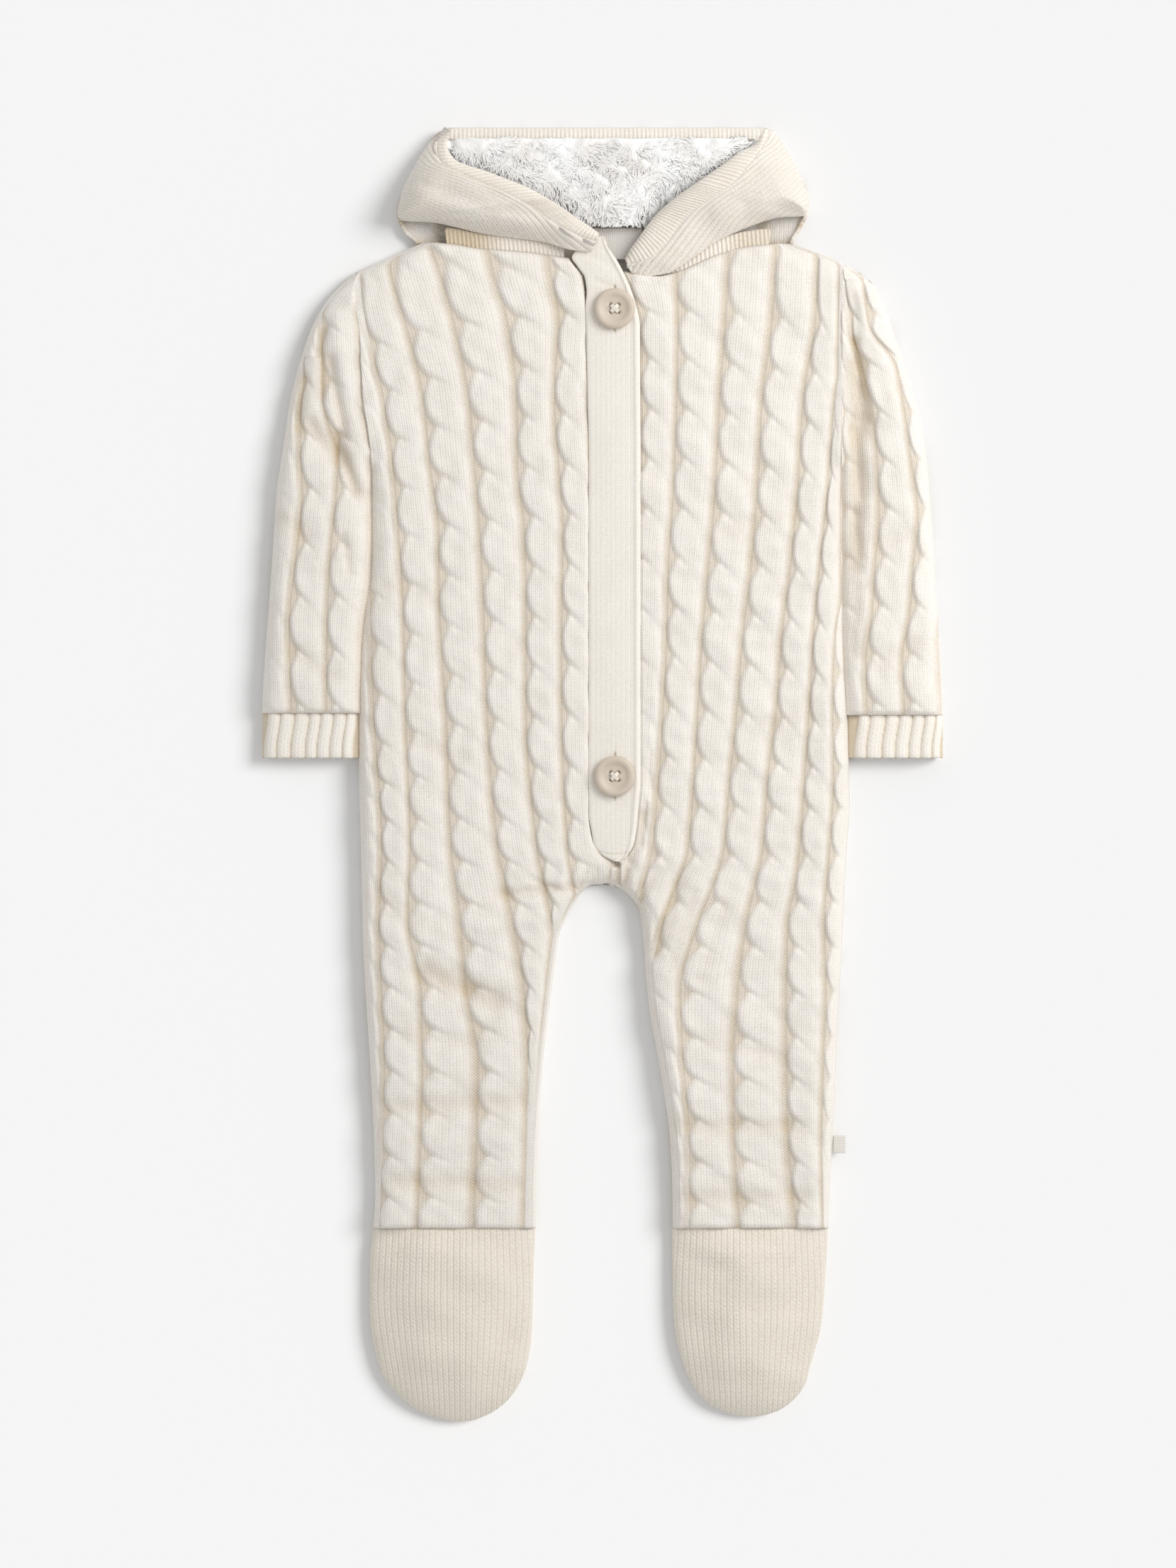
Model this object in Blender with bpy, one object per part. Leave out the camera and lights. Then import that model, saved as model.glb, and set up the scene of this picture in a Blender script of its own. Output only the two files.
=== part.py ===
"""A baby's knitted pramsuit with a hood and feet, laid flat on its back.

The wearer's right is at -X, the head is towards +Y and the cloth rests on Z = 0. Sizes and
tables are in millimetres in the part's frame, and points become metres when a mesh is made.
"""

import math

import bmesh
import bpy
import numpy as np

MM = 0.001

# Thicknesses and heights, in millimetres.
SEW = 0.3  # gap between two pieces that are sewn, or that lie on each other
BACK = 4.2  # back wall: knit with its jersey backing, pressed flat
FRONT = 4.0  # front wall between its cables
EASE = 3.0  # air between the front's inside and the back's inside
CABLE = 2.4  # how far a rope cable stands above the wall
ROLL = 12.0  # width over which a side rounds down to its seam
UNDER_ROLL = 6.0  # the same on the underside
SEAM = BACK + SEW / 2  # level of the side seams
SILL = BACK + SEW  # lowest point of what lies on the back
CEILING = BACK + EASE
TOP = CEILING + FRONT
ARMHOLE = 8.7  # the armhole seam pulls the cloth down to this level
NECK_EDGE = 10.0  # the neck seam, the centre seam and the ends of sleeves and legs
PLACKET_EDGE = 10.9
LAP = 9.4  # top of the button band that the placket covers

# Lengths along the garment, as Y in millimetres.
ANKLE = -223.1
ARMPIT = 150.0
CROTCH = -53.0
PLACKET_FOOT = -42.9
NAPE = 262.3
HOOD_TOP = 320.4

# Rope cables.
ROPE_SHARE = 0.8  # the rope takes this share of its column, a purl channel takes the rest
LEAST_COLUMN = 17.0
ACROSS = (0.0, 0.26, 0.6)  # grid lines in one column
ALONG = (0.05, 0.4, 0.75)  # grid lines in one crossing of the rope
SHOULDER_ROWS = {
    "right": (252.6, 250.0, 247.2, 243.6, 150.0, 145.5),
    "left": (249.6, 247.4, 244.8, 241.4, 150.0, 145.5),
}
CROTCH_ROWS = (-33.4, -39.7, -42.9, -48.0, -52.4, -53.4, -55.2, -58.2, -63.0)
INSIDE_LINES = {"right": (0, 3, 7, 11, 15, 18, 21), "left": (0, 1, 3, 4, 6, 10, 16, 22)}
SQUEEZE = 1.2  # a column that runs off the edge keeps this width

# Side outlines, from the shoulder down: y, x. The first rows are the shoulder seam.
RIGHT_SIDE = (
    (264.1, -87.5), (256.4, -105.0), (248.3, -121.5), (237.8, -123.6), (221.0, -120.9),
    (197.6, -119.8), (186.0, -119.0), (168.5, -116.5), (151.0, -114.8), (116.0, -114.6),
    (98.5, -115.0), (85.6, -117.2), (62.8, -119.7), (33.1, -120.4), (1.6, -120.4),
    (-40.4, -119.3), (-82.4, -118.4), (-110.4, -116.9), (-138.4, -115.1), (-180.4, -112.9),
    (-208.4, -112.3), (-224.0, -113.4),
)
LEFT_SIDE = (
    (263.4, 91.7), (257.8, 108.5), (252.6, 119.4), (240.0, 119.2), (219.3, 118.8),
    (173.1, 119.0), (138.1, 119.0), (69.1, 119.5), (33.1, 121.1), (1.6, 121.8),
    (-12.4, 122.1), (-40.4, 120.4), (-68.4, 119.0), (-96.4, 117.6), (-124.4, 115.8),
    (-152.4, 114.8), (-180.4, 113.4), (-208.4, 112.3), (-224.0, 111.6),
)
# Inner outlines: placket edge, round its foot, centre seam, crotch and inner leg: y, x.
RIGHT_INNER = (
    (270.0, -18.2), (255.4, -16.4), (245.5, -9.8), (232.6, -8.2), (187.1, -6.9),
    (160.0, -6.3), (-19.4, -6.3), (-33.4, -4.0), (-39.7, 0.4), (-42.9, 5.4), (-52.4, 5.4),
    (-53.4, 0.0), (-53.9, -5.6), (-56.9, -9.8), (-61.5, -13.2), (-69.1, -17.5),
    (-78.9, -21.5), (-92.9, -23.6), (-113.9, -26.2), (-141.9, -29.4), (-180.4, -32.2),
    (-208.4, -33.0), (-224.0, -33.0),
)
LEFT_INNER = (
    (270.0, -5.3), (-19.4, -5.3), (-33.4, -2.8), (-39.7, 2.0), (-42.9, 6.2), (-52.4, 5.8),
    (-54.8, 7.3), (-57.9, 11.9), (-62.1, 15.7), (-66.3, 18.2), (-82.4, 20.3), (-96.4, 21.3),
    (-113.9, 22.9), (-138.4, 27.3), (-152.4, 29.7), (-180.4, 33.4), (-208.4, 34.5),
    (-224.0, 34.6),
)
# Neck seams of the fronts: x, y.
RIGHT_NECK = ((-90.0, 263.6), (-72.5, 262.0), (-61.0, 260.0), (-39.2, 258.4), (-15.0, 255.2))
LEFT_NECK = (
    (-6.0, 251.0), (17.8, 247.8), (28.0, 246.6), (40.6, 250.0), (52.5, 255.3), (70.0, 260.6),
    (92.0, 263.0),
)
# Left edge of every cable on the fronts: y, then one x for each cable. An x beyond the
# outline says that the cable has run off the cloth there.
RIGHT_CABLES = (
    (262.3, -130.0, -126.0, -105.0, -85.4, -56.0, -26.2),
    (250.1, -130.0, -120.7, -104.3, -80.5, -54.2, -25.5),
    (225.6, -130.0, -117.0, -97.5, -73.5, -46.9, -21.3),
    (187.1, -130.0, -108.1, -88.2, -65.8, -42.0, -23.4),
    (152.1, -126.0, -102.9, -84.7, -62.6, -41.6, -21.3),
    (120.6, -120.0, -100.4, -80.5, -60.2, -38.1, -19.2),
    (85.6, -114.8, -98.0, -80.2, -58.4, -37.4, -19.9),
    (33.1, -112.7, -96.9, -77.0, -56.7, -37.4, -19.9),
    (-36.9, -108.5, -94.5, -74.2, -51.1, -31.8, -16.8),
    (-54.4, -109.2, -95.2, -71.8, -47.2, -28.0, -14.0),
    (-71.9, -109.9, -95.5, -69.6, -43.8, -24.8, -8.0),
    (-106.9, -108.8, -89.2, -66.5, -38.1, -20.0, -2.0),
    (-141.9, -107.4, -88.5, -60.9, -36.4, -20.0, -2.0),
    (-223.1, -109.9, -91.0, -63.0, -38.0, -20.0, -2.0),
)
LEFT_CABLES = (
    (262.3, 36.8, 63.0, 86.1, 106.8, 125.0, 131.0),
    (225.6, 37.4, 60.9, 84.0, 105.3, 122.0, 131.0),
    (187.1, 36.8, 58.1, 79.1, 99.4, 115.0, 131.0),
    (138.1, 35.0, 55.6, 76.3, 96.2, 110.9, 128.0),
    (103.1, 32.6, 52.5, 73.5, 92.8, 107.1, 122.0),
    (68.1, 31.8, 49.4, 69.3, 88.5, 104.0, 115.0),
    (33.1, 30.1, 47.3, 66.5, 86.0, 102.2, 113.6),
    (-1.9, 27.7, 45.2, 63.0, 81.6, 99.8, 114.0),
    (-36.9, 24.5, 42.4, 59.9, 79.1, 97.3, 112.0),
    (-54.4, 20.0, 36.4, 54.6, 75.3, 94.9, 110.6),
    (-71.9, 14.0, 30.1, 47.6, 71.4, 91.7, 109.6),
    (-106.9, 10.0, 22.0, 38.5, 67.0, 90.8, 110.4),
    (-141.9, 10.0, 20.0, 39.9, 64.8, 91.0, 109.2),
    (-176.9, 10.0, 20.0, 42.7, 65.1, 91.7, 108.4),
    (-223.1, 10.0, 20.0, 42.7, 68.0, 96.0, 109.2),
)
RIGHT_SLEEVE_CABLES = (
    (250.0, -149.0, -140.0), (218.0, -147.0, -138.0), (186.0, -148.0, -137.5),
    (173.0, -149.0, -134.8), (159.0, -148.6, -130.0), (138.8, -147.7, -130.9),
    (106.9, -150.9, -134.0), (74.6, -154.0, -135.4), (30.0, -153.0, -135.8),
)
LEFT_SLEEVE_CABLES = (
    (253.0, 118.0, 128.0), (222.0, 122.5, 131.6), (202.0, 128.1, 145.5),
    (180.4, 133.0, 149.0), (155.0, 135.5, 152.3), (128.0, 136.5, 155.8),
    (103.0, 134.5, 153.3), (80.0, 133.0, 151.6), (56.5, 129.9, 148.0), (30.0, 130.6, 149.1),
)
# Crossings of the ropes: y of the first one, then (how many, their pitch) downwards.
RIGHT_CROSSINGS = (249.0, ((12, 24.7), (99, 20.7)))
LEFT_CROSSINGS = (253.2, ((13, 24.5), (4, 22.4), (99, 20.3)))
RIGHT_SLEEVE_CROSSINGS = (246.6, ((99, 26.6),))
LEFT_SLEEVE_CROSSINGS = (249.8, ((99, 23.9),))
# How far below its row a crossing lies on the torso: x, drop.
RIGHT_DROP = ((-121.0, 15.0), (-103.0, 11.0), (-85.0, 5.0), (-63.0, 2.0), (-20.0, -2.0))
LEFT_DROP = ((10.0, 1.5), (32.0, 0.0), (55.0, 2.5), (76.0, 4.0), (96.0, 6.5), (111.0, 8.0))
SLEEVE_DROP = ((-170.0, 0.0), (170.0, 0.0))

# Sleeve silhouettes from the shoulder to the cuff: y, x.
RIGHT_SLEEVE = (
    (247.6, -123.2), (241.3, -130.5), (235.4, -135.8), (222.1, -143.5), (211.6, -147.3),
    (197.6, -151.5), (183.6, -154.7), (169.6, -156.8), (155.6, -158.9), (141.6, -161.0),
    (120.6, -162.4), (85.6, -164.8), (57.6, -166.9), (30.0, -168.2), (8.0, -168.2),
)
LEFT_SLEEVE = (
    (252.6, 119.8), (246.6, 129.2), (242.4, 134.0), (229.1, 140.3), (211.6, 146.3),
    (197.6, 150.8), (183.6, 155.0), (169.6, 158.2), (155.6, 160.3), (141.6, 161.4),
    (120.6, 163.0), (99.6, 164.2), (75.1, 165.9), (50.6, 167.4), (30.0, 168.2), (8.0, 168.2),
)
CUFF_TOP = {"right": 31.0, "left": 30.0}
CUFF_END = 8.8
CUFF_RIBS = 7
CUFF_RIB = 1.3  # depth of the rib
CUFF_HEIGHT = 9.6

# Foot outlines: y, left x, right x.
RIGHT_FOOT = (
    (-223.5, -113.2, -33.1), (-240.0, -114.8, -34.0), (-258.0, -115.1, -34.4),
    (-272.0, -114.4, -34.8), (-282.0, -112.8, -35.6), (-292.4, -110.0, -37.8),
    (-299.4, -106.4, -41.2), (-306.4, -101.1, -46.5), (-311.7, -94.4, -52.4),
    (-316.2, -86.2, -60.2), (-319.4, -77.6, -68.0),
)
LEFT_FOOT = (
    (-223.5, 34.4, 111.4), (-240.0, 34.6, 110.6), (-258.0, 34.8, 109.4),
    (-272.0, 35.7, 108.0), (-282.0, 37.4, 105.4), (-292.4, 40.6, 102.4),
    (-299.4, 44.0, 99.4), (-305.5, 48.4, 95.2), (-310.4, 54.2, 90.0),
    (-314.2, 60.8, 84.2), (-317.0, 67.6, 77.2),
)

# The placket: y, left x, right x, from the neck to its rounded foot.
PLACKET = (
    (265.6, -2.6, -0.4), (262.0, -8.0, 1.6), (258.6, -13.2, 4.0), (255.4, -15.2, 6.2),
    (250.5, -12.2, 9.0), (245.5, -8.9, 11.4), (239.0, -7.9, 14.2), (232.6, -7.3, 16.2),
    (222.0, -6.9, 18.4), (187.1, -6.2, 18.6), (160.0, -5.6, 18.8), (0.0, -5.6, 18.8),
    (-19.4, -5.5, 17.4), (-27.0, -4.3, 16.6), (-33.4, -3.1, 15.4), (-39.7, 1.5, 11.8),
    (-42.2, 5.6, 8.4),
)
PLACKET_WALL = 3.5
PLACKET_CROWN = 0.5
PLACKET_SILL = LAP + SEW

# The hood's sides, from the top corner to the end by the placket: x and y on the opening,
# x and y on the outer edge, height of the roll, width of the rib, lowest level of the roll.
HOOD_RIGHT = (
    (-73.4, 319.4, -78.6, 319.2, 10.5, 3.0, SILL), (-77.0, 311.4, -86.4, 311.6, 14.5, 4.5, SILL),
    (-72.5, 303.3, -93.1, 300.8, 18.5, 7.5, SILL), (-55.0, 296.3, -99.4, 287.9, 21.5, 11.5, SILL),
    (-36.0, 288.6, -101.4, 278.1, 22.5, 13.0, SILL), (-27.7, 284.0, -99.4, 274.4, 22.5, 13.0, 5.5),
    (-22.5, 281.0, -81.9, 272.4, 22.0, 12.5, 10.4), (-17.5, 277.7, -58.0, 267.0, 21.5, 12.0, 10.4),
    (-12.3, 273.9, -29.7, 263.0, 21.5, 9.0, 11.6), (-6.3, 270.0, -15.0, 258.6, 21.5, 7.0, 15.0),
    (-1.6, 266.6, -5.6, 257.6, 20.8, 4.6, 15.0),
)
HOOD_LEFT = (
    (79.6, 319.4, 85.2, 318.6, 10.5, 3.0, SILL), (74.9, 311.3, 89.6, 311.8, 14.0, 5.0, SILL),
    (67.9, 307.5, 94.2, 303.2, 17.0, 8.5, SILL), (60.9, 301.9, 98.7, 294.4, 20.0, 11.0, SILL),
    (53.6, 296.6, 102.0, 283.0, 21.5, 13.0, SILL), (46.6, 291.7, 100.2, 276.8, 21.5, 14.0, 5.5),
    (39.2, 286.8, 85.8, 274.9, 21.0, 14.0, 10.4), (32.2, 281.6, 71.8, 271.4, 19.5, 13.5, 10.4),
    (27.0, 277.0, 57.0, 266.0, 18.0, 13.0, 10.4), (21.6, 270.6, 43.0, 256.0, 17.4, 13.0, 11.6),
    (18.4, 265.4, 31.0, 249.4, 17.4, 12.0, 12.0), (15.6, 260.0, 19.6, 249.6, 17.4, 6.0, 12.0),
)
HOOD_WALL = 5.0
HOOD_ROLL = 16.0
HOOD_CORNER = 5  # rows of the hood tables above this one reach the hood's own silhouette
HOOD_BACK = (
    (262.6, -92.0, 94.0), (264.6, -93.6, 94.6), (268.0, -97.8, 96.8), (273.0, -100.4, 99.4),
    (279.0, -101.6, 102.2), (286.0, -100.2, 102.0), (294.4, -96.4, 98.7),
    (303.2, -91.6, 94.2), (311.8, -86.2, 89.6), (317.6, -81.4, 85.8), (320.4, -77.4, 80.4),
)
# The fleece lining: y, left x, right x.
LINING = (
    (271.2, -6.0, 20.0), (276.0, -15.5, 27.0), (281.0, -24.5, 32.5), (286.0, -34.0, 39.5),
    (291.0, -45.0, 47.0), (296.0, -57.0, 54.0), (301.0, -67.5, 60.0), (306.0, -72.4, 65.0),
    (310.0, -74.0, 70.5), (313.2, -74.6, 73.0),
)
PILE = 13.2  # height of the fleece's fur
LINING_EDGE = 6.5
RIB_TOP = (313.6, HOOD_TOP, 9.4)  # lower y, upper y and height of the rib across the top
NECK_RIB = 9.0  # height of the rib neck, up from the neck seam
NECK_RIB_TOP = 9.8
TAPE = (-5.0, 19.5, 255.0, 270.6, 1.5)  # x, x, y, y and thickness

# Buttons and label.
BUTTON_RADIUS = 10.0
BUTTON_THICK = 3.4
BUTTON_RIM = 1.8
BUTTON_HOLE = 1.1
BUTTON_HOLE_REACH = 2.2
BUTTONS = {"button_top": (5.9, 229.8), "button_bottom": (5.9, -0.2)}
LABEL = (6.2, 8.8, 1.0)  # width, height, thickness
LABEL_Y = -182.0

# The largest folds: x, y to x, y, then width and depth. A negative depth is a ridge.
RIGHT_FOLDS = (
    (-50.8, -58.6, -12.0, -54.5, 3.0, 1.6), (-87.5, -96.4, -52.5, -111.0, 6.0, 2.2),
    (-101.0, -163.0, -42.0, -161.0, 5.0, 1.3), (-101.0, -200.0, -45.0, -202.0, 5.0, 1.4),
)
LEFT_FOLDS = (
    (19.3, -19.4, 10.5, -52.0, 3.0, 1.6), (26.3, -47.4, 16.0, -68.4, 3.0, 1.4),
    (38.5, -50.9, 26.3, -86.0, 4.0, 1.3), (38.5, -173.0, 94.5, -173.0, 5.0, 1.3),
    (40.0, -208.0, 98.0, -207.0, 5.0, 1.2),
)
RIGHT_SLEEVE_FOLDS = (
    (-143.5, 173.0, -129.5, 155.6, 4.0, 2.2), (-137.6, 218.6, -139.3, 187.0, 3.0, 1.5),
    (-128.8, 159.0, -118.5, 138.0, 3.5, 1.6), (-131.0, 226.0, -127.0, 190.0, 4.0, -1.4),
)
LEFT_SLEEVE_FOLDS = (
    (122.5, 201.0, 126.7, 173.0, 5.0, 2.6), (126.7, 173.0, 124.3, 103.0, 5.0, 2.8),
    (126.0, 92.0, 123.6, 60.0, 3.5, 1.4),
)

COLOURS = {
    "cable_knit": (0.86, 0.82, 0.74), "rib_knit": (0.84, 0.80, 0.71),
    "foot_knit": (0.74, 0.70, 0.60), "fleece": (0.86, 0.84, 0.80),
    "cotton_tape": (0.84, 0.84, 0.83), "button_resin": (0.58, 0.53, 0.46),
}


# ---------------------------------------------------------------- numbers on curves


def through(knots, values, at):
    """A smooth curve through a table: cubic pieces whose slopes never overshoot a row."""
    knots, values = np.asarray(knots, float), np.asarray(values, float)
    at = np.asarray(at, float)
    step = np.diff(knots)
    slope = np.diff(values) / step
    tangent = np.concatenate(([slope[0]], np.zeros(len(step) - 1), [slope[-1]]))
    product = slope[:-1] * slope[1:]
    total = slope[:-1] + slope[1:]
    tangent[1:-1] = np.where(product > 0, 2 * product / np.where(total == 0, 1, total), 0)
    i = np.clip(np.searchsorted(knots, at) - 1, 0, len(step) - 1)
    s = np.clip((at - knots[i]) / step[i], 0, 1)
    start = values[i] * (1 + 2 * s) * (1 - s) ** 2 + step[i] * tangent[i] * s * (1 - s) ** 2
    end = values[i + 1] * s**2 * (3 - 2 * s) - step[i] * tangent[i + 1] * s**2 * (1 - s)
    return start + end


def column(table, index):
    """One column of a table whose rows run down the garment, as a function of y."""
    rows = sorted(table)
    return lambda y: through([r[0] for r in rows], [r[index] for r in rows], y)


def ease(s):
    """0 to 1 with a level start and end."""
    s = np.clip(s, 0, 1)
    return s * s * (3 - 2 * s)


def quarter(s):
    """0 to 1 along a quarter of a circle, upright at 0 and level at 1."""
    return np.sqrt(1 - (1 - np.clip(s, 0, 1)) ** 2)


def distance(x, y, line):
    """Distance of every point of a grid from a line of points."""
    line = np.asarray(line, float)
    point = np.stack([x, y], -1)[..., None, :]
    start, run = line[:-1], np.diff(line, axis=0)
    along = ((point - start) * run).sum(-1) / np.maximum((run * run).sum(-1), 1e-9)
    nearest = start + np.clip(along, 0, 1)[..., None] * run
    return np.sqrt(((point - nearest) ** 2).sum(-1).min(-1))


def line_of(edge, high, low, count=60):
    """Points along an outline x = edge(y) between two heights."""
    y = np.linspace(high, low, count)
    return np.stack([edge(y), y], -1)


def lowered(x, y, top, edges):
    """Height of cloth at a level top that rounds down to each edge: (line, level, width)."""
    z = np.full(np.shape(x), float(top))
    for line, level, width in edges:
        z = np.minimum(z, level + (top - level) * quarter(distance(x, y, line) / width))
    return z


def folds(x, y, table):
    """Soft troughs along short lines, deepest in the middle."""
    z = np.zeros(np.shape(x))
    for x0, y0, x1, y1, width, depth in table:
        away = distance(x, y, [(x0, y0), (x1, y1)])
        z -= depth * np.exp(-((away / width) ** 2))
    return z


def cable(across, along):
    """Height, 0 to 1, of a two-strand rope.

    across runs over one column from its left edge, along counts crossings downwards. A strand
    lies on the left for one crossing, sweeps over to the right, lies there for another and
    dives under the next one. The cloth follows whichever strand is higher.
    """
    f = across / ROPE_SHARE
    height = np.zeros(np.broadcast(across, along).shape)
    for older in (0, 1):
        age = np.mod(along, 1) + older
        left = 0.5 * ease((age - 0.88) / 0.42)
        right = 0.5 + 0.5 * ease((age - 0.62) / 0.40)
        middle, half = (left + right) / 2, (right - left) / 2
        bulge = np.sqrt(np.clip(1 - ((f - middle) / half) ** 2, 0, 1))
        height = np.maximum(height, bulge * (0.5 + 0.5 * np.sin(math.pi * age / 2)))
    return height


# ---------------------------------------------------------------- meshes


def material(name):
    made = bpy.data.materials.get(name) or bpy.data.materials.new(name)
    made.use_nodes = True
    shader = made.node_tree.nodes["Principled BSDF"]
    shader.inputs["Base Color"].default_value = (*COLOURS[name], 1)
    shader.inputs["Roughness"].default_value = 0.45 if name == "button_resin" else 0.9
    shader.inputs["Metallic"].default_value = 0
    return made


def put(mesh_or_bmesh, name, finish):
    """A named object in the part's collection with its material, its faces turned outwards."""
    mesh = bpy.data.meshes.new(name)
    bmesh.ops.recalc_face_normals(mesh_or_bmesh, faces=mesh_or_bmesh.faces)
    mesh_or_bmesh.to_mesh(mesh)
    mesh_or_bmesh.free()
    mesh.materials.append(material(finish))
    mesh.shade_smooth()
    made = bpy.data.objects.new(name, mesh)
    garment.objects.link(made)
    return made


def zipped(first, second, points):
    """Triangles between two rows of vertices with different counts, matched by length.

    The row whose next step has its middle nearer the start takes the next triangle.
    """

    def shares(row):
        steps = [math.dist(points[a], points[b]) for a, b in zip(row, row[1:])]
        total = sum(steps) or 1
        return [(sum(steps[:i]) + step / 2) / total for i, step in enumerate(steps)]

    reach_a, reach_b = shares(first), shares(second)
    faces, i, j = [], 0, 0
    while i < len(reach_a) or j < len(reach_b):
        if j == len(reach_b) or (i < len(reach_a) and reach_a[i] <= reach_b[j]):
            faces.append((first[i], first[i + 1], second[j]))
            i += 1
        else:
            faces.append((first[i], second[j + 1], second[j]))
            j += 1
    return faces


def grid_faces(index, closed_rows=()):
    """Quads of a grid of vertex numbers. closed_rows also join the last column to the first."""
    rows, columns = index.shape
    faces = [
        (index[r, c], index[r, c + 1], index[r + 1, c + 1], index[r + 1, c])
        for r in range(rows - 1)
        for c in range(columns - 1)
    ]
    last = columns - 1
    faces += [(index[r, last], index[r, 0], index[r + 1, 0], index[r + 1, last]) for r in closed_rows]
    return faces


def build(name, finish, points, faces):
    """A mesh from points in millimetres and faces of vertex numbers."""
    bm = bmesh.new()
    verts = [bm.verts.new([c * MM for c in p]) for p in points]
    for face in faces:
        bm.faces.new([verts[int(v)] for v in face])
    bmesh.ops.triangulate(bm, faces=[f for f in bm.faces if len(f.verts) > 3])
    return put(bm, name, finish)


def numbered(*grids):
    """Every point of some grids in one list, and each grid's vertex numbers."""
    points, indices, start = [], [], 0
    for grid in grids:
        count = grid.shape[0] * grid.shape[1]
        points += [tuple(p) for p in grid.reshape(-1, 3)]
        indices.append(np.arange(start, start + count).reshape(grid.shape[:2]))
        start += count
    return points, indices


def laced(first, second, ties, points):
    """Triangles between two rows of vertices that are tied together at some of them.

    Each tie is the place of a vertex in the first row and its place in the second.
    """
    faces = []
    for (i, j), (p, q) in zip(ties, ties[1:]):
        faces += zipped(list(first[i : p + 1]), list(second[j : q + 1]), points)
    return faces


def shell(name, finish, outer, inner, rows=None, lines=None):
    """A closed wall between an outer grid and an inner grid of points.

    rows and lines say which rows and lines of the outer grid the inner grid's lie under.
    """
    points, (a, b) = numbered(outer, inner)
    faces = grid_faces(a) + grid_faces(b)
    ties = []
    for given, many, few in ((rows, a.shape[0], b.shape[0]), (lines, a.shape[1], b.shape[1])):
        if given is None:
            given = range(many) if many == few else (0, many - 1)
        ties.append([(int(place), order) for order, place in enumerate(given)])
    for end in (0, -1):
        faces += laced(a[end], b[end], ties[1], points)
        faces += laced(a[:, end], b[:, end], ties[0], points)
    return build(name, finish, points, faces)


def tube(name, finish, outer, inner, ties, slits=(0, 0), toe=None):
    """A closed wall round a flattened tube, from grids whose rows are rings.

    The first rows stay open between their last and first points, as at an armhole: slits says
    how many, outside and inside. A tube with a toe is closed at its last ring by a point on the
    outside and one on the inside. ties match places of the outer ring and of the inner ring.
    """
    points, (a, b) = numbered(outer, inner)
    faces = []
    for index, slit in ((a, slits[0]), (b, slits[1])):
        faces += grid_faces(index, range(slit, index.shape[0] - 1))
    around = [*ties, (a.shape[1], b.shape[1])]
    if slits[0]:
        p, q = slits
        faces += laced(a[0], b[0], ties, points)
        for end in (0, -1):
            faces += zipped(list(a[: p + 1, end]), list(b[: q + 1, end]), points)
        faces.append((a[p, 0], a[p, -1], b[q, -1], b[q, 0]))
    else:
        faces += laced([*a[0], a[0, 0]], [*b[0], b[0, 0]], around, points)
    if toe is None:
        faces += laced([*a[-1], a[-1, 0]], [*b[-1], b[-1, 0]], around, points)
    else:
        for index, point in ((a, toe[0]), (b, toe[1])):
            points.append(point)
            ring = list(index[-1])
            faces += [(p, q, len(points) - 1) for p, q in zip(ring, ring[1:] + ring[:1])]
    return build(name, finish, points, faces)


# ---------------------------------------------------------------- cable-knit panels


def crossings(layout):
    """How many crossings lie above y, as a function of y, and back from a count to y."""
    first, runs = layout
    y, t = [first + runs[0][1]], [-1.0]
    for count, pitch in runs:
        for _ in range(min(count, 40)):
            y.append(y[-1] - pitch)
            t.append(t[-1] + 1)
    count_at = lambda level: np.interp(-np.asarray(level, float), [-v for v in y], t)
    level_at = lambda count: np.interp(count, t, y)
    return count_at, level_at


def panel_rows(layout, top, bottom, extra=()):
    """Levels of a panel's rows: its ends, the chosen steps of every crossing, and extra ones."""
    count_at, level_at = crossings(layout)
    steps = [k + s for k in range(-1, 30) for s in ALONG]
    rows = [float(level_at(s)) for s in steps]
    rows = [v for v in rows if bottom + 2 < v < top - 2]
    rows = [v for v in rows if all(abs(v - e) > 3.4 for e in extra)]
    return np.array(sorted([top, bottom, *rows, *extra], reverse=True))


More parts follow.
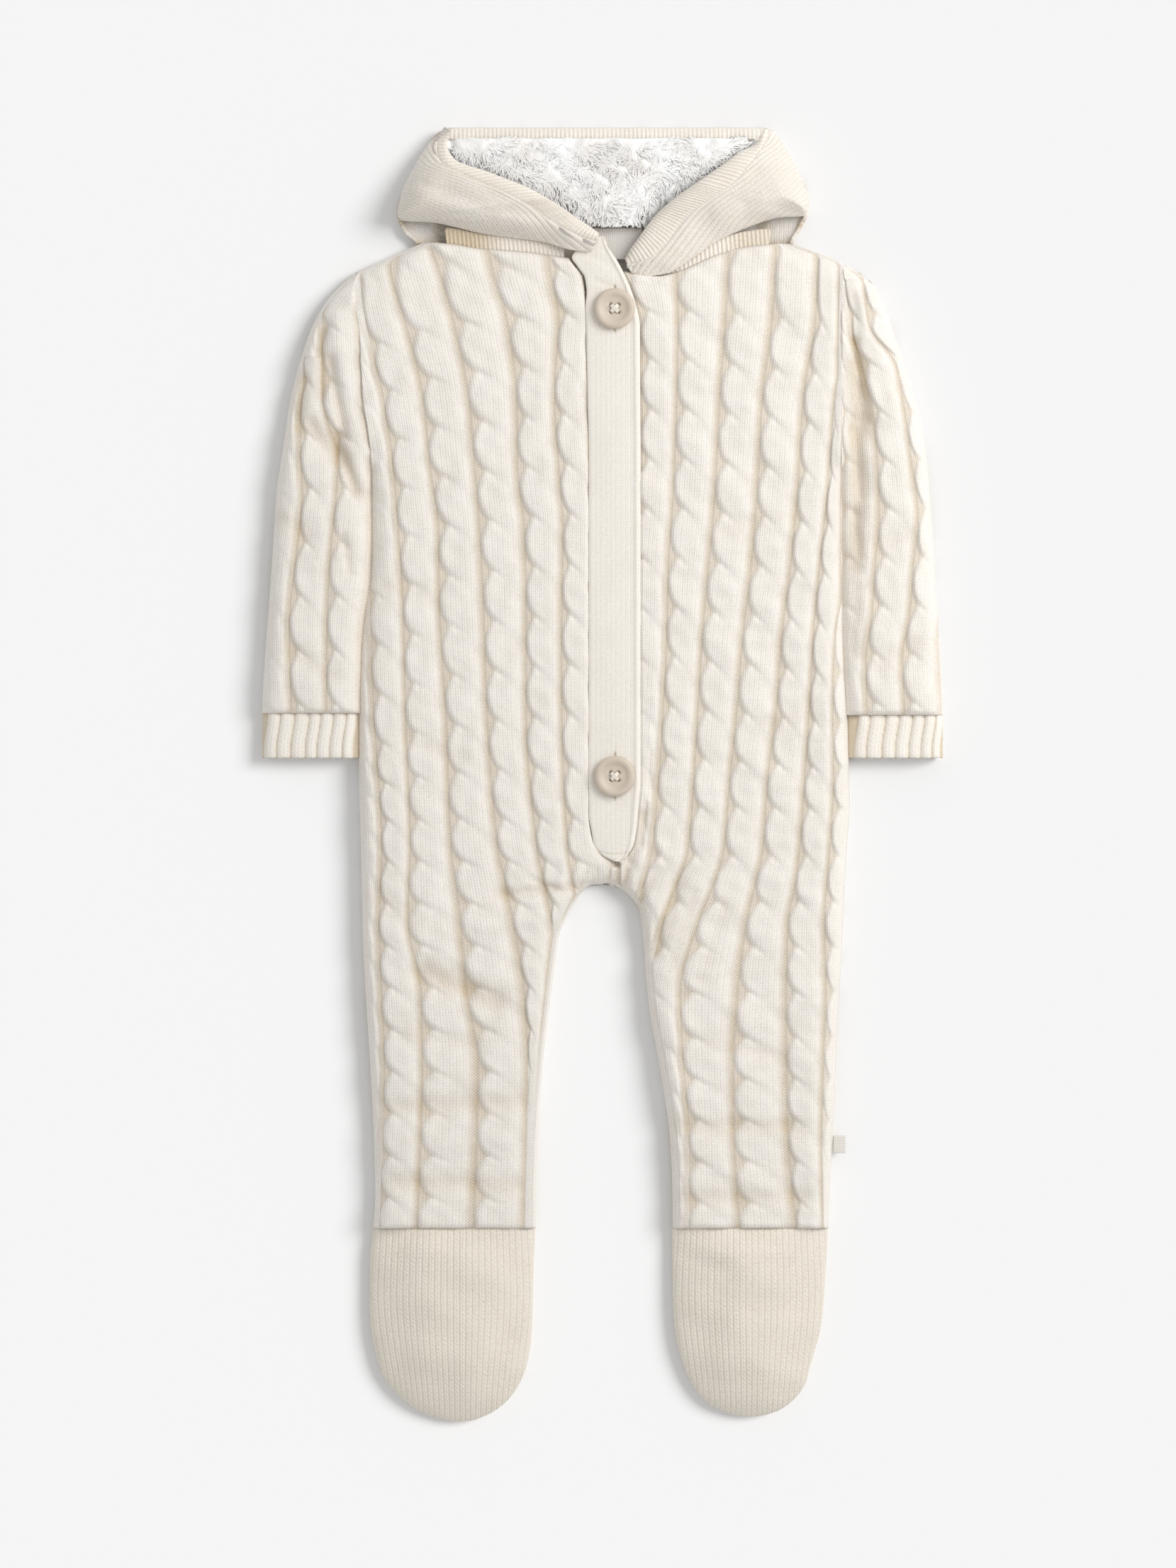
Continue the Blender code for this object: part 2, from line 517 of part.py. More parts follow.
def cable_panel(panel):
    """The outer points of a cable-knit panel: a grid of rows down it and lines across it."""
    rows = panel_rows(panel["crossings"], panel["top"], panel["bottom"], panel.get("extra", ()))
    count_at, _ = crossings(panel["crossings"])
    tables = [column(panel["cables"], i + 1) for i in range(len(panel["cables"][0]) - 1)]
    if "hidden" in panel:
        tables = [panel["hidden"], *tables]
    number = len(tables)
    shares = [ACROSS] * number + [(*ACROSS, 1.0)]
    if "hidden" in panel:
        shares[0] = (0.0,)
    starts = np.cumsum([0, *map(len, shares)])
    drop = lambda x: through([r[0] for r in panel["drop"]], [r[1] for r in panel["drop"]], x)

    def lines(y):
        left, right = panel["left"](y[:, 0]), panel["right"](y[:, -1])
        edges = [left]
        for i, table in enumerate(tables):
            least, most = left + (i + 1) * SQUEEZE, right - (number - i) * SQUEEZE
            edges.append(np.clip(table(y[:, starts[i + 1]]), least, most))
        edges.append(right)
        x, part, edge = [], [], np.array(edges)
        for i in range(number + 1):
            width = edge[i + 1] - edge[i]
            partial = edge[i] - left < (i + 0.5) * SQUEEZE if i else True
            partial = partial | (i == number) | (i == 1 and "hidden" in panel)
            whole = np.where(partial, np.maximum(width, LEAST_COLUMN), width)
            offset = 0 if i == number else whole - width
            for share in shares[i]:
                x.append(edge[i] + share * width)
                part.append((share * width + offset) / whole)
        return np.array(x).T, np.array(part).T

    shape = (len(rows), starts[-1])
    level = np.repeat(rows[:, None], shape[1], 1)
    on_torso = ease((panel["top"] - level) / 25) * ease((level + 30) / 60)
    at_top = 1 - ease((panel["top"] - level) / 30)
    y = level
    for _ in range(3):
        x, part = lines(y)
        y = level - drop(x) * on_torso + (panel["neck"](x) - panel["top"]) * at_top
    x, part = lines(y)
    level_at = lambda x, y: lowered(x, y, TOP, panel["edges"]) - panel["sink"](x, y)
    base = level_at(x, y)
    fade = np.clip((base - SEAM) / (TOP - SEAM), 0, 1) ** 2
    for line, _, _ in panel["edges"]:
        fade = fade * ease(distance(x, y, line) / 4)
    relief = CABLE * cable(part, count_at(level)) + folds(x, y, panel["folds"])
    return np.stack([x, y, base + relief * fade], -1), level_at


def inside(grid, base, rows, lines, insets):
    """The plain inner points of a panel, under some of its rows and drawn in from its sides.

    Its lines are spread evenly, and at the neck they lie under the chosen lines of the panel.
    """
    out = []
    share = np.linspace(0, 1, len(lines))
    for row in grid[rows]:
        start, end = row[0, 0] + insets[0](row[0, 1]), row[-1, 0] - insets[1](row[-1, 1])
        order = np.arange(len(lines))
        chosen = np.clip(row[list(lines), 0], start + order, end - order[::-1])
        x = start + (end - start) * share
        at_neck = ease((row[0, 1] - 225) / 20)
        x = x + (chosen - x) * at_neck
        x[0], x[-1] = start, end
        y = np.interp(x, row[:, 0], row[:, 1])
        out.append(np.stack([x, y, np.clip(base(x, y) - FRONT, SILL, CEILING)], -1))
    return np.array(out)


def fronts():
    neck = {"right": RIGHT_NECK, "left": LEFT_NECK}
    sides = {"right": RIGHT_SIDE, "left": LEFT_SIDE}
    inner = {"right": RIGHT_INNER, "left": LEFT_INNER}
    for side in ("right", "left"):
        sign = -1 if side == "right" else 1
        outline, middle = column(sides[side], 1), column(inner[side], 1)
        collar = neck[side]
        collar_x, collar_y = [p[0] for p in collar], [p[1] for p in collar]
        shoulder = sides[side][:3]
        edges = [
            (line_of(outline, shoulder[0][0], shoulder[-1][0], 24), SILL, ROLL),
            (line_of(outline, shoulder[-1][0], ARMPIT), ARMHOLE, 7.0),
            (line_of(outline, ARMPIT, ANKLE), SILL, ROLL),
            (collar, NECK_EDGE, 5.0),
            (line_of(middle, PLACKET_FOOT, CROTCH + 0.6, 4), NECK_EDGE, 3.0),
            (line_of(middle, CROTCH, ANKLE, 90), SILL, ROLL),
            ([(-130.0 * -sign, ANKLE), (0.0, ANKLE)], NECK_EDGE - 0.5, 5.0),
        ]
        panel = {
            "crossings": RIGHT_CROSSINGS if side == "right" else LEFT_CROSSINGS,
            "cables": RIGHT_CABLES if side == "right" else LEFT_CABLES,
            "drop": RIGHT_DROP if side == "right" else LEFT_DROP,
            "folds": RIGHT_FOLDS if side == "right" else LEFT_FOLDS,
            "top": 258.0 if side == "right" else 254.0,
            "bottom": ANKLE,
            "extra": (*SHOULDER_ROWS[side], *CROTCH_ROWS),
            "neck": lambda x: through(collar_x, collar_y, x),
            "edges": edges,
            "sink": lambda x, y: 0,
        }
        if side == "right":
            edges.append((line_of(middle, 255.0, PLACKET_FOOT), PLACKET_EDGE, 3.0))
            panel["left"], panel["right"] = outline, middle
        else:
            cover = column(PLACKET, 2)
            panel["left"], panel["right"] = middle, outline
            panel["hidden"] = lambda y: cover(y) + 0.9

            def sink(x, y):
                under = ease((cover(y) + 4.0 - x) / 3.0) * ease((y - PLACKET_FOOT + 3) / 2.4)
                return under * (TOP - LAP)

            panel["sink"] = sink
        outer, base = cable_panel(panel)
        if side == "left":
            hidden = sink(outer[..., 0], outer[..., 1]) / (TOP - LAP)
            outer[..., 2] = outer[..., 2] * (1 - hidden) + np.minimum(outer[..., 2], LAP) * hidden
        rolled = lambda y: FRONT * np.maximum(ease((ARMPIT + 4 - y) / 10), ease((y - 249) / 4))
        open_edge = lambda y: FRONT * ease((CROTCH + 1 - y) / 3)
        insets = (rolled, open_edge) if side == "right" else (open_edge, rolled)
        number, at = np.arange(len(outer)), outer[:, 0, 1]
        wanted = (number % 3 == 0) | (number < 6) | (abs(at - 148) < 6) | (abs(at + 51) < 21)
        rows = np.unique([*number[wanted], number[-1]])
        lines = INSIDE_LINES[side]
        inner_points = inside(outer, base, rows, lines, insets)
        shell(f"front_{side}", "cable_knit", outer, inner_points, rows, lines)


def flat_slab(name, finish, left, right, levels, rolled, steps=(1.3, 3.6), top=BACK):
    """A wall with a flat underside, rounded up to its rolled edges, under a level top."""
    y = np.repeat(np.asarray(levels, float)[:, None], 2 * len(steps) + 3, 1)
    a, b = left(y[:, 0]), right(y[:, 0])
    width = (b - a) * 0.5
    offsets = [np.minimum(s, width * s / (steps[-1] + 1)) for s in steps]
    lines = [a, *[a + o for o in offsets], (a + b) / 2, *[b - o for o in offsets[::-1]], b]
    x = np.array(lines).T
    lift = np.zeros(x.shape)
    for line in rolled:
        lift = np.maximum(lift, 1 - quarter(distance(x, y, line) / UNDER_ROLL))
    under = np.stack([x, y, top * lift * 0.999], -1)
    over = np.stack([x[:, [0, -1]], y[:, [0, -1]], np.full((len(y), 2), top)], -1)
    under[..., 2] = np.minimum(under[..., 2], top - 0.25)
    return shell(name, finish, under, over)


def backs():
    levels = [NAPE, 257, 252, 248.6, 244, 237, 228, 216, 203, 190, 178, 166, 154, 140, 122]
    levels += [104, 86, 62, 33, 1, -25, -42, -50, -52.4, -53.2, -54.2, -55.6, -57.6, -60.2, -64]
    levels += [-69, -76, -84, -95, -112, -132, -155, -180, -202, -213, ANKLE]
    for side, table, inner in (("right", RIGHT_SIDE, RIGHT_INNER), ("left", LEFT_SIDE, LEFT_INNER)):
        outline, leg = column(table, 1), column(inner, 1)
        half = SEW / 2 if side == "left" else -SEW / 2
        sign = 1 if side == "left" else -1
        middle = lambda y: np.where(y > CROTCH - 1, half, sign * np.maximum(sign * leg(y), SEW / 2))
        rolled = [
            line_of(outline, table[0][0], table[2][0], 24),
            line_of(outline, ARMPIT, ANKLE),
            line_of(lambda y: leg(y), CROTCH - 0.4, ANKLE, 90),
        ]
        ends = (outline, middle) if side == "right" else (middle, outline)
        flat_slab(f"back_{side}", "cable_knit", *ends, levels, rolled)


def ring(front_outer, body_side, silhouette, rolled):
    """Closes the front of a sleeve, cuff or foot into a ring with a flat underside.

    front_outer runs from the body's side to the silhouette.
    """
    y = front_outer[:, 0, 1]
    a, b = body_side, silhouette
    width = np.abs(b - a)
    sign = np.sign(b - a)
    steps = [np.minimum(s, width * s / 16) for s in (1.0, 3.0, 6.0)]
    lines = [b - sign * s for s in steps] + [(a + b) / 2]
    lines += [a + sign * s for s in steps[::-1]] + [a]
    x = np.array(lines).T
    level = np.repeat(y[:, None], x.shape[1], 1)
    lift = np.zeros(x.shape)
    for line in rolled:
        lift = np.maximum(lift, 1 - quarter(distance(x, level, line) / UNDER_ROLL))
    under = np.stack([x, level, BACK * lift], -1)
    return np.concatenate([front_outer, under], 1)


def ring_inside(outer, base, body_side, silhouette, inset, rows, count=5):
    """The plain inner ring of a sleeve, cuff or foot."""
    y = outer[rows, 0, 1]
    a, b = body_side[rows], silhouette[rows]
    sign = np.sign(b - a)
    width = np.abs(b - a)
    from_a = np.minimum(inset(y), width * 0.3)
    from_b = np.minimum(FRONT, width * 0.6)
    start, end = a + sign * from_a, b - sign * from_b
    shares = np.linspace(0, 1, count)
    x = start[:, None] + (end - start)[:, None] * shares
    level = np.repeat(y[:, None], count, 1)
    high = np.clip(base(x, level) - FRONT, SILL, CEILING)
    over = np.stack([x, level, high], -1)
    floor = np.stack([x, level, np.full(x.shape, BACK)], -1)[:, ::-1]
    return np.concatenate([over, floor], 1)


def ring_ties(front, count=5):
    """Places of an outer ring and of an inner ring that lie together: edges and middles."""
    last = front.shape[1] - 1
    middle = count + (count - 1) // 2
    return [(0, 0), (last, count - 1), (last + 4, middle), (last + 8, 2 * count - 1)]


def sleeves():
    for side in ("right", "left"):
        right = side == "right"
        sign = -1 if right else 1
        shape = column(RIGHT_SLEEVE if right else LEFT_SLEEVE, 1)
        side_line = column(RIGHT_SIDE if right else LEFT_SIDE, 1)
        body = lambda y: side_line(y) + sign * (SEW + 0.6 + 1.2 * ease((y - 205) / 20))
        top, bottom = (241.0 if right else 247.0), CUFF_TOP[side]
        silhouette = line_of(shape, 256.0, bottom, 70)
        edges = [
            (silhouette, SEAM, ROLL),
            (line_of(body, 256.0, ARMPIT), ARMHOLE, 7.0),
            (line_of(body, ARMPIT, bottom - 4), SILL, ROLL),
            ([(-180.0, bottom), (180.0, bottom)], NECK_EDGE, 4.0),
        ]
        panel = {
            "crossings": RIGHT_SLEEVE_CROSSINGS if right else LEFT_SLEEVE_CROSSINGS,
            "cables": RIGHT_SLEEVE_CABLES if right else LEFT_SLEEVE_CABLES,
            "drop": SLEEVE_DROP,
            "folds": RIGHT_SLEEVE_FOLDS if right else LEFT_SLEEVE_FOLDS,
            "top": top,
            "bottom": bottom,
            "neck": lambda x: np.full(np.shape(x), top),
            "edges": edges,
            "left": shape if right else body,
            "right": body if right else shape,
            "extra": (ARMPIT,),
            "sink": lambda x, y: 0,
        }
        front, _ = cable_panel(panel)
        if right:
            front = front[:, ::-1]
        body_x, shape_x = front[:, 0, 0], front[:, -1, 0]
        rolled = [silhouette, line_of(body, ARMPIT, bottom - 4)]
        outer = ring(front, body_x, shape_x, rolled)
        base = lambda x, y: lowered(x, y, TOP, edges)
        inset = lambda y: FRONT * ease((ARMPIT + 12 - y) / 12)
        slit = int(np.argmin(np.abs(front[:, 0, 1] - ARMPIT)))
        rows = np.unique([*range(0, len(outer), 2), slit, len(outer) - 1])
        inner = ring_inside(outer, base, body_x, shape_x, inset, rows)
        slits = (slit, int(np.flatnonzero(rows == slit)[0]))
        tube(f"sleeve_{side}", "cable_knit", outer, inner, ring_ties(front), slits=slits)


def cuffs():
    for side in ("right", "left"):
        right = side == "right"
        sign = -1 if right else 1
        top = CUFF_TOP[side] - SEW
        shape = column(RIGHT_SLEEVE if right else LEFT_SLEEVE, 1)
        side_line = column(RIGHT_SIDE if right else LEFT_SIDE, 1)
        y = np.linspace(top, CUFF_END, 5)
        body_x, shape_x = side_line(y) + sign * (SEW + 0.5), shape(y)
        share = np.linspace(0, 1, 4 * CUFF_RIBS + 1)
        x = body_x[:, None] + (shape_x - body_x)[:, None] * share
        level = np.repeat(y[:, None], len(share), 1)
        edges = [
            (np.stack([shape_x, y], -1) + [(0, 0)] * 5, SEAM, 9.0),
            (np.stack([body_x, y], -1), SILL, 9.0),
        ]
        base = lambda x, y: lowered(x, y, CUFF_HEIGHT, edges)
        rib = np.where(np.arange(len(share)) % 4 < 2, 1.0, 0.0)
        height = base(x, level)
        fade = np.clip((height - SEAM) / (CUFF_HEIGHT - SEAM), 0, 1) ** 2
        front = np.stack([x, level, height + CUFF_RIB * (rib - 0.5) * fade], -1)
        rolled = [np.stack([shape_x, y], -1), np.stack([body_x, y], -1)]
        outer = ring(front, body_x, shape_x, rolled)
        inset = lambda y: np.full(y.shape, FRONT + 1)
        inner = ring_inside(outer, base, body_x, shape_x, inset, np.arange(3) * 2, 9)
        inner[:, :9, 2] = np.minimum(inner[:, :9, 2], SILL + 1)
        inner[..., 1] = np.array([top - 0.8, (top + CUFF_END) / 2, CUFF_END + 0.8])[:, None]
        tube(f"cuff_{side}", "rib_knit", outer, inner, ring_ties(front, 9))


def feet():
    for side, table in (("right", RIGHT_FOOT), ("left", LEFT_FOOT)):
        left, right = column(table, 1), column(table, 2)
        levels = [r[0] for r in table]
        y = np.array(levels)
        a, b = left(y), right(y)
        tip = (float(a[-1] + b[-1]) / 2, levels[-1] - 1.1)
        outline = [*zip(a, y), tip, *zip(b[::-1], y[::-1])]
        ankle = [(a[0], levels[0]), (b[0], levels[0])]
        edges = [(outline, SEAM, 14.0), (ankle, NECK_EDGE - 0.5, 6.0)]
        base = lambda x, y: lowered(x, y, TOP - 0.3, edges)
        share = np.array([0, 0.02, 0.06, 0.12, 0.25, 0.5, 0.75, 0.88, 0.94, 0.98, 1])
        x = a[:, None] + (b - a)[:, None] * share
        level = np.repeat(y[:, None], len(share), 1)
        front = np.stack([x, level, base(x, level)], -1)
        outer = ring(front, a, b, [outline])
        last = len(y) - 3
        inner = ring_inside(outer, base, a, b, lambda y: np.full(y.shape, FRONT), np.arange(last))
        end_y = y[last - 1] - 3
        tube(
            f"foot_{side}", "foot_knit", outer, inner, ring_ties(front),
            toe=((tip[0], tip[1], SEAM), (tip[0], end_y, (SILL + CEILING) / 2)),
        )


# ---------------------------------------------------------------- hood, neck and placket


def hood_sides():
    for side, table in (("right", HOOD_RIGHT), ("left", HOOD_LEFT)):
        rows = np.array(table)
        knots = np.arange(len(rows))
        u = np.linspace(0, len(rows) - 1, 2 * len(rows) - 1)
        ox, oy, ex, ey, high, rib, low = (through(knots, rows[:, i], u) for i in range(7))
        width = np.hypot(ex - ox, ey - oy)
        seam = np.clip(rib / width, 0.1, 0.6)
        outer_line = np.stack([ex, ey], -1)
        corner = 2 * HOOD_CORNER + 1
        opening = np.stack([ox, oy], -1)

        def height(x, y, row_high):
            z = row_high - 4.0 * (1 - quarter(distance(x, y, opening) / 5))
            fall = quarter(distance(x, y, outer_line[:corner]) / HOOD_ROLL)
            z = np.minimum(z, SILL + (row_high - SILL) * fall)
            lift = quarter(distance(x, y, outer_line[corner - 1 :]) / 9)
            return np.minimum(z, (low + (high - low) * lift.T).T)

        gap = 0.5 * (SEW + 0.35) / width
        for part, finish, start, end in (
            ("rib", "rib_knit", np.zeros(len(u)), seam - gap),
            ("side", "cable_knit", seam + gap, np.ones(len(u))),
        ):
            share = np.array([0, 0.14, 0.5, 0.88, 1.0] if part == "rib" else
                             [0, 0.08, 0.25, 0.5, 0.74, 0.9, 0.97, 1.0])
            w = start[:, None] + (end - start)[:, None] * share
            x = ox[:, None] + (ex - ox)[:, None] * w
            y = oy[:, None] + (ey - oy)[:, None] * w
            tall = np.repeat(high[:, None], len(share), 1)
            z = height(x, y, tall)
            from_seam = np.abs(w - seam[:, None]) * width[:, None]
            z = z - 1.4 * (1 - quarter(from_seam / 3))
            if part == "side":
                z[:, -1] = np.minimum(z[:, -1], low)
            z = np.maximum(z, low[:, None])
            outer = np.stack([x, y, z], -1)
            keep = [0, len(share) // 2, len(share) - 1]
            inner = outer[:, keep].copy()
            inner[..., 2] = np.maximum(inner[..., 2] - HOOD_WALL, low[:, None])
            if part == "side":
                draw = np.minimum(4.0 / width, 0.3 * (end - start))
                inner[:, -1, 0] = ox + (ex - ox) * (end - draw)
                inner[:, -1, 1] = oy + (ey - oy) * (end - draw)
                inner[:, -1, 2] = low
                inner[:, 1, 2] = np.maximum(inner[:, 1, 2], low + 1)
            shell(f"hood_{part}_{side}", finish, outer, inner, lines=keep)


def hood_back_and_top():
    left, right = column(HOOD_BACK, 1), column(HOOD_BACK, 2)
    levels = [r[0] for r in HOOD_BACK]
    top = [(left(HOOD_TOP), HOOD_TOP), (right(HOOD_TOP), HOOD_TOP)]
    rolled = [line_of(left, HOOD_TOP, levels[0]), line_of(right, HOOD_TOP, levels[0]), top]
    flat_slab("hood_back", "cable_knit", left, right, levels, rolled)

    low, high, tall = RIB_TOP
    y = np.array([low, low + 1.6, (low + high) / 2, high - 2.0, high - 0.7, high])
    opening = [sorted((r[1], r[0]) for r in t[:3]) for t in (HOOD_RIGHT, HOOD_LEFT)]
    a = np.interp(y, [p[0] for p in opening[0]], [p[1] for p in opening[0]]) + 1.2
    b = np.interp(y, [p[0] for p in opening[1]], [p[1] for p in opening[1]]) - 1.2
    share = np.linspace(0, 1, 17)
    x = a[:, None] + (b - a)[:, None] * share
    level = np.repeat(y[:, None], len(share), 1)
    edge = [([(-90.0, high), (90.0, high)], SILL, 5.0), ([(-90.0, low), (90.0, low)], tall - 1.2, 2.0)]
    z = lowered(x, level, tall, edge)
    outer = np.stack([x, level, z], -1)
    inner = outer[:, [0, 8, 16]].copy()
    inner[..., 2] = SILL
    inner[-1, :, 1] -= 1.5
    inner[-2, :, 1] -= 1.4
    shell("hood_rib_top", "rib_knit", outer, inner[[0, 3, 5]], (0, 3, 5), (0, 8, 16))


def lining():
    left, right = column(LINING, 1), column(LINING, 2)
    y = np.linspace(LINING[0][0], LINING[-1][0], 10)
    a, b = left(y), right(y)
    share = np.linspace(0, 1, 15)
    x = a[:, None] + (b - a)[:, None] * share
    level = np.repeat(y[:, None], len(share), 1)
    edge = [(np.stack([a, y], -1), LINING_EDGE, 12.0), (np.stack([b, y], -1), LINING_EDGE, 12.0)]
    z = lowered(x, level, PILE, edge)
    clumps = np.sin(x * 0.31 + 1.3 * np.sin(level * 0.23)) * np.sin(level * 0.37 + x * 0.05)
    inner_part = ease((z - LINING_EDGE) / (PILE - LINING_EDGE))
    outer = np.stack([x, level, z - 1.2 * (0.5 + 0.5 * clumps) * inner_part], -1)
    inner = np.stack([outer[:, 0], outer[:, -1]], 1)
    inner[..., 2] = SILL
    shell("hood_lining", "fleece", outer, inner)


def neck():
    for side, collar, start, end in (
        ("right", RIGHT_NECK, -77.0, -19.0), ("left", LEFT_NECK, 24.0, 82.0),
    ):
        seam = lambda x: through([p[0] for p in collar], [p[1] for p in collar], x) + SEW + 0.9
        x = np.linspace(start, end, 15)
        share = np.array([0.0, 0.15, 0.5, 0.85, 1.0])
        y = seam(x) + share[:, None] * NECK_RIB
        xx = np.repeat(x[None], len(share), 0)
        level = NECK_RIB_TOP - 2.0 * (1 - quarter(np.minimum(share, 1 - share) / 0.15))
        outer = np.stack([xx, y, np.repeat(level[:, None], 15, 1)], -1)
        inner = outer[[0, -1]].copy()
        inner[..., 2] = SILL
        shell(f"neck_rib_{side}", "rib_knit", outer, inner)
    x0, x1, y0, y1, thick = TAPE
    centre = ((x0 + x1) / 2 * MM, (y0 + y1) / 2 * MM, (SILL + thick / 2) * MM)
    bpy.ops.mesh.primitive_cube_add(size=1, location=centre)
    tape = bpy.context.object
    tape.name = tape.data.name = "neck_tape"
    tape.scale = ((x1 - x0) * MM, (y1 - y0) * MM, thick * MM)
    adopt(tape, "cotton_tape")


def adopt(made, finish):
    """Moves a primitive into the part's collection, applies its scale and gives its material."""
    bpy.ops.object.transform_apply(location=False, rotation=False, scale=True)
    for collection in list(made.users_collection):
        collection.objects.unlink(made)
    garment.objects.link(made)
    made.data.materials.append(material(finish))


def placket():
    left, right = column(PLACKET, 1), column(PLACKET, 2)
    levels = [r[0] for r in PLACKET]
    y = np.array(sorted({*levels, *np.linspace(140, 20, 7)}, reverse=True))
    a, b = left(y), right(y)
    share = np.array([0.0, 0.06, 0.3, 0.62, 0.82, 0.93, 1.0])
    x = a[:, None] + (b - a)[:, None] * share
    level = np.repeat(y[:, None], len(share), 1)
    crown = PLACKET_CROWN * np.sin(math.pi * share) + 0.7 * np.exp(-(((share - 0.92) / 0.05) ** 2))
    round_off = 0.9 * (1 - quarter(np.minimum(share, 1 - share) / 0.08))
    z = np.repeat((PLACKET_SILL + PLACKET_WALL + crown - round_off)[None], len(y), 0)
    outer = np.stack([x, level, z], -1)
    inner = np.stack([outer[:, 0], outer[:, -1]], 1)
    inner[..., 2] = PLACKET_SILL
    shell("placket", "rib_knit", outer, inner)


def buttons():
    top = PLACKET_SILL + PLACKET_WALL + PLACKET_CROWN + 2 * SEW
    radius, rim, thick = BUTTON_RADIUS, BUTTON_RIM, BUTTON_THICK
    profile = [
        (0.0, thick - 1.2), (radius - rim - 2.2, thick - 1.2), (radius - rim - 0.6, thick - 0.5),
        (radius - rim, thick), (radius - 0.7, thick), (radius, thick - 0.9), (radius, 0.9),
        (radius - 1.2, 0.0), (0.0, 0.0),
    ]
    for name, (x, y) in BUTTONS.items():
        bm = bmesh.new()
        verts = [bm.verts.new((r * MM, 0, z * MM)) for r, z in profile]
        for first, second in zip(verts, verts[1:]):
            bm.edges.new((first, second))
        bmesh.ops.spin(bm, geom=bm.verts[:] + bm.edges[:], cent=(0, 0, 0), axis=(0, 0, 1),
                       angle=2 * math.pi, steps=22, use_duplicate=False)
        bmesh.ops.remove_doubles(bm, verts=bm.verts, dist=0.00001)
        made = put(bm, name, "button_resin")
        made.location = (x * MM, y * MM, top * MM)
        reach = BUTTON_HOLE_REACH / math.sqrt(2)
        for i, (dx, dy) in enumerate(((1, 1), (1, -1), (-1, 1), (-1, -1))):
            spot = ((x + dx * reach) * MM, (y + dy * reach) * MM, (top + thick / 2) * MM)
            bpy.ops.mesh.primitive_cylinder_add(vertices=7, radius=BUTTON_HOLE * MM, depth=3 * thick * MM,
                                                location=spot)
            cutter = bpy.context.object
            cutter.name = f"{name}_hole_{i}"
            for collection in list(cutter.users_collection):
                collection.objects.unlink(cutter)
            cutters.objects.link(cutter)
            cutter.hide_render = True
            cutter.display_type = "WIRE"
            cut = made.modifiers.new("hole", "BOOLEAN")
            cut.object = cutter
            cut.operation = "DIFFERENCE"


def label():
    width, height, thick = LABEL
    x = float(column(LEFT_SIDE, 1)(LABEL_Y)) + 2 * SEW + width / 2
    bpy.ops.mesh.primitive_cube_add(size=1, location=(x * MM, LABEL_Y * MM, SEAM * MM))
    tab = bpy.context.object
    tab.name = tab.data.name = "side_label"
    tab.scale = (width * MM, height * MM, thick * MM)
    adopt(tab, "cotton_tape")


for old in list(bpy.data.objects):
    bpy.data.objects.remove(old)
garment = bpy.data.collections.new("knitted_pramsuit")
cutters = bpy.data.collections.new("cutters")
bpy.context.scene.collection.children.link(garment)
bpy.context.scene.collection.children.link(cutters)

fronts()
backs()
sleeves()
cuffs()
feet()
hood_sides()
hood_back_and_top()
lining()
neck()
placket()
buttons()
label()
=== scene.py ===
# %% [markdown]
# # A baby's knitted pramsuit, laid out flat
# The real thing is a one-piece suit: two cable-knit fronts and two backs, folded sleeves with
# ribbed cuffs, plain knitted feet, a hood lined with fleece and a buttoned band down the middle.
# It lies on a table and the camera looks straight down. Each cut piece becomes one object here,
# so a reader can see how the garment was sewn. The cables are made as real relief, because they
# are 2 mm high and throw their own shadows; single stitches are bump in the material.

# %% Load the measured model that the pieces have to fit
import math

import bmesh
import bpy
import numpy as np
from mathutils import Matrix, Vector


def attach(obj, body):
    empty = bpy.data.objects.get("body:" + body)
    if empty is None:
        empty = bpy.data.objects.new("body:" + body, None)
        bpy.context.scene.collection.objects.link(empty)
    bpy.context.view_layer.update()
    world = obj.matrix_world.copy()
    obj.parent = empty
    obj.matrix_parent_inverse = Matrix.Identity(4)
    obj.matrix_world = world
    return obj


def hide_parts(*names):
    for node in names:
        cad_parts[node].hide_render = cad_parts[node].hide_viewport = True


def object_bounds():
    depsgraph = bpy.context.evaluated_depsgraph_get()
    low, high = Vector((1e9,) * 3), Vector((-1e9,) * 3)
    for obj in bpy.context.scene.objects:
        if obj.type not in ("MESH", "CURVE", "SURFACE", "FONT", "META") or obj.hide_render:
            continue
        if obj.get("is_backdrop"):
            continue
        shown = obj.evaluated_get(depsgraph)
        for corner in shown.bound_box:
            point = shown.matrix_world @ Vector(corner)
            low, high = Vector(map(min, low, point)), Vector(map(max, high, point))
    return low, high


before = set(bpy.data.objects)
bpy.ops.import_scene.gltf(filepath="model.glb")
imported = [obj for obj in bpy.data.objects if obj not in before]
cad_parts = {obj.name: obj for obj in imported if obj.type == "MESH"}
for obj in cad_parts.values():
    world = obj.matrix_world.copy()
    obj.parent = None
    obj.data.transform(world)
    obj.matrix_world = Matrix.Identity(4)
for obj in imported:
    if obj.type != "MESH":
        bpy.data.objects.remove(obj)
cad_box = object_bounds()
print("pieces in the measured model:", len(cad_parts))

# %% [markdown]
# ## Sizes
# Every size is in millimetres on the garment. X runs across it, Y towards the head and Z up
# from the table. Both sides share the same code, so most tables have a "right" and a "left".

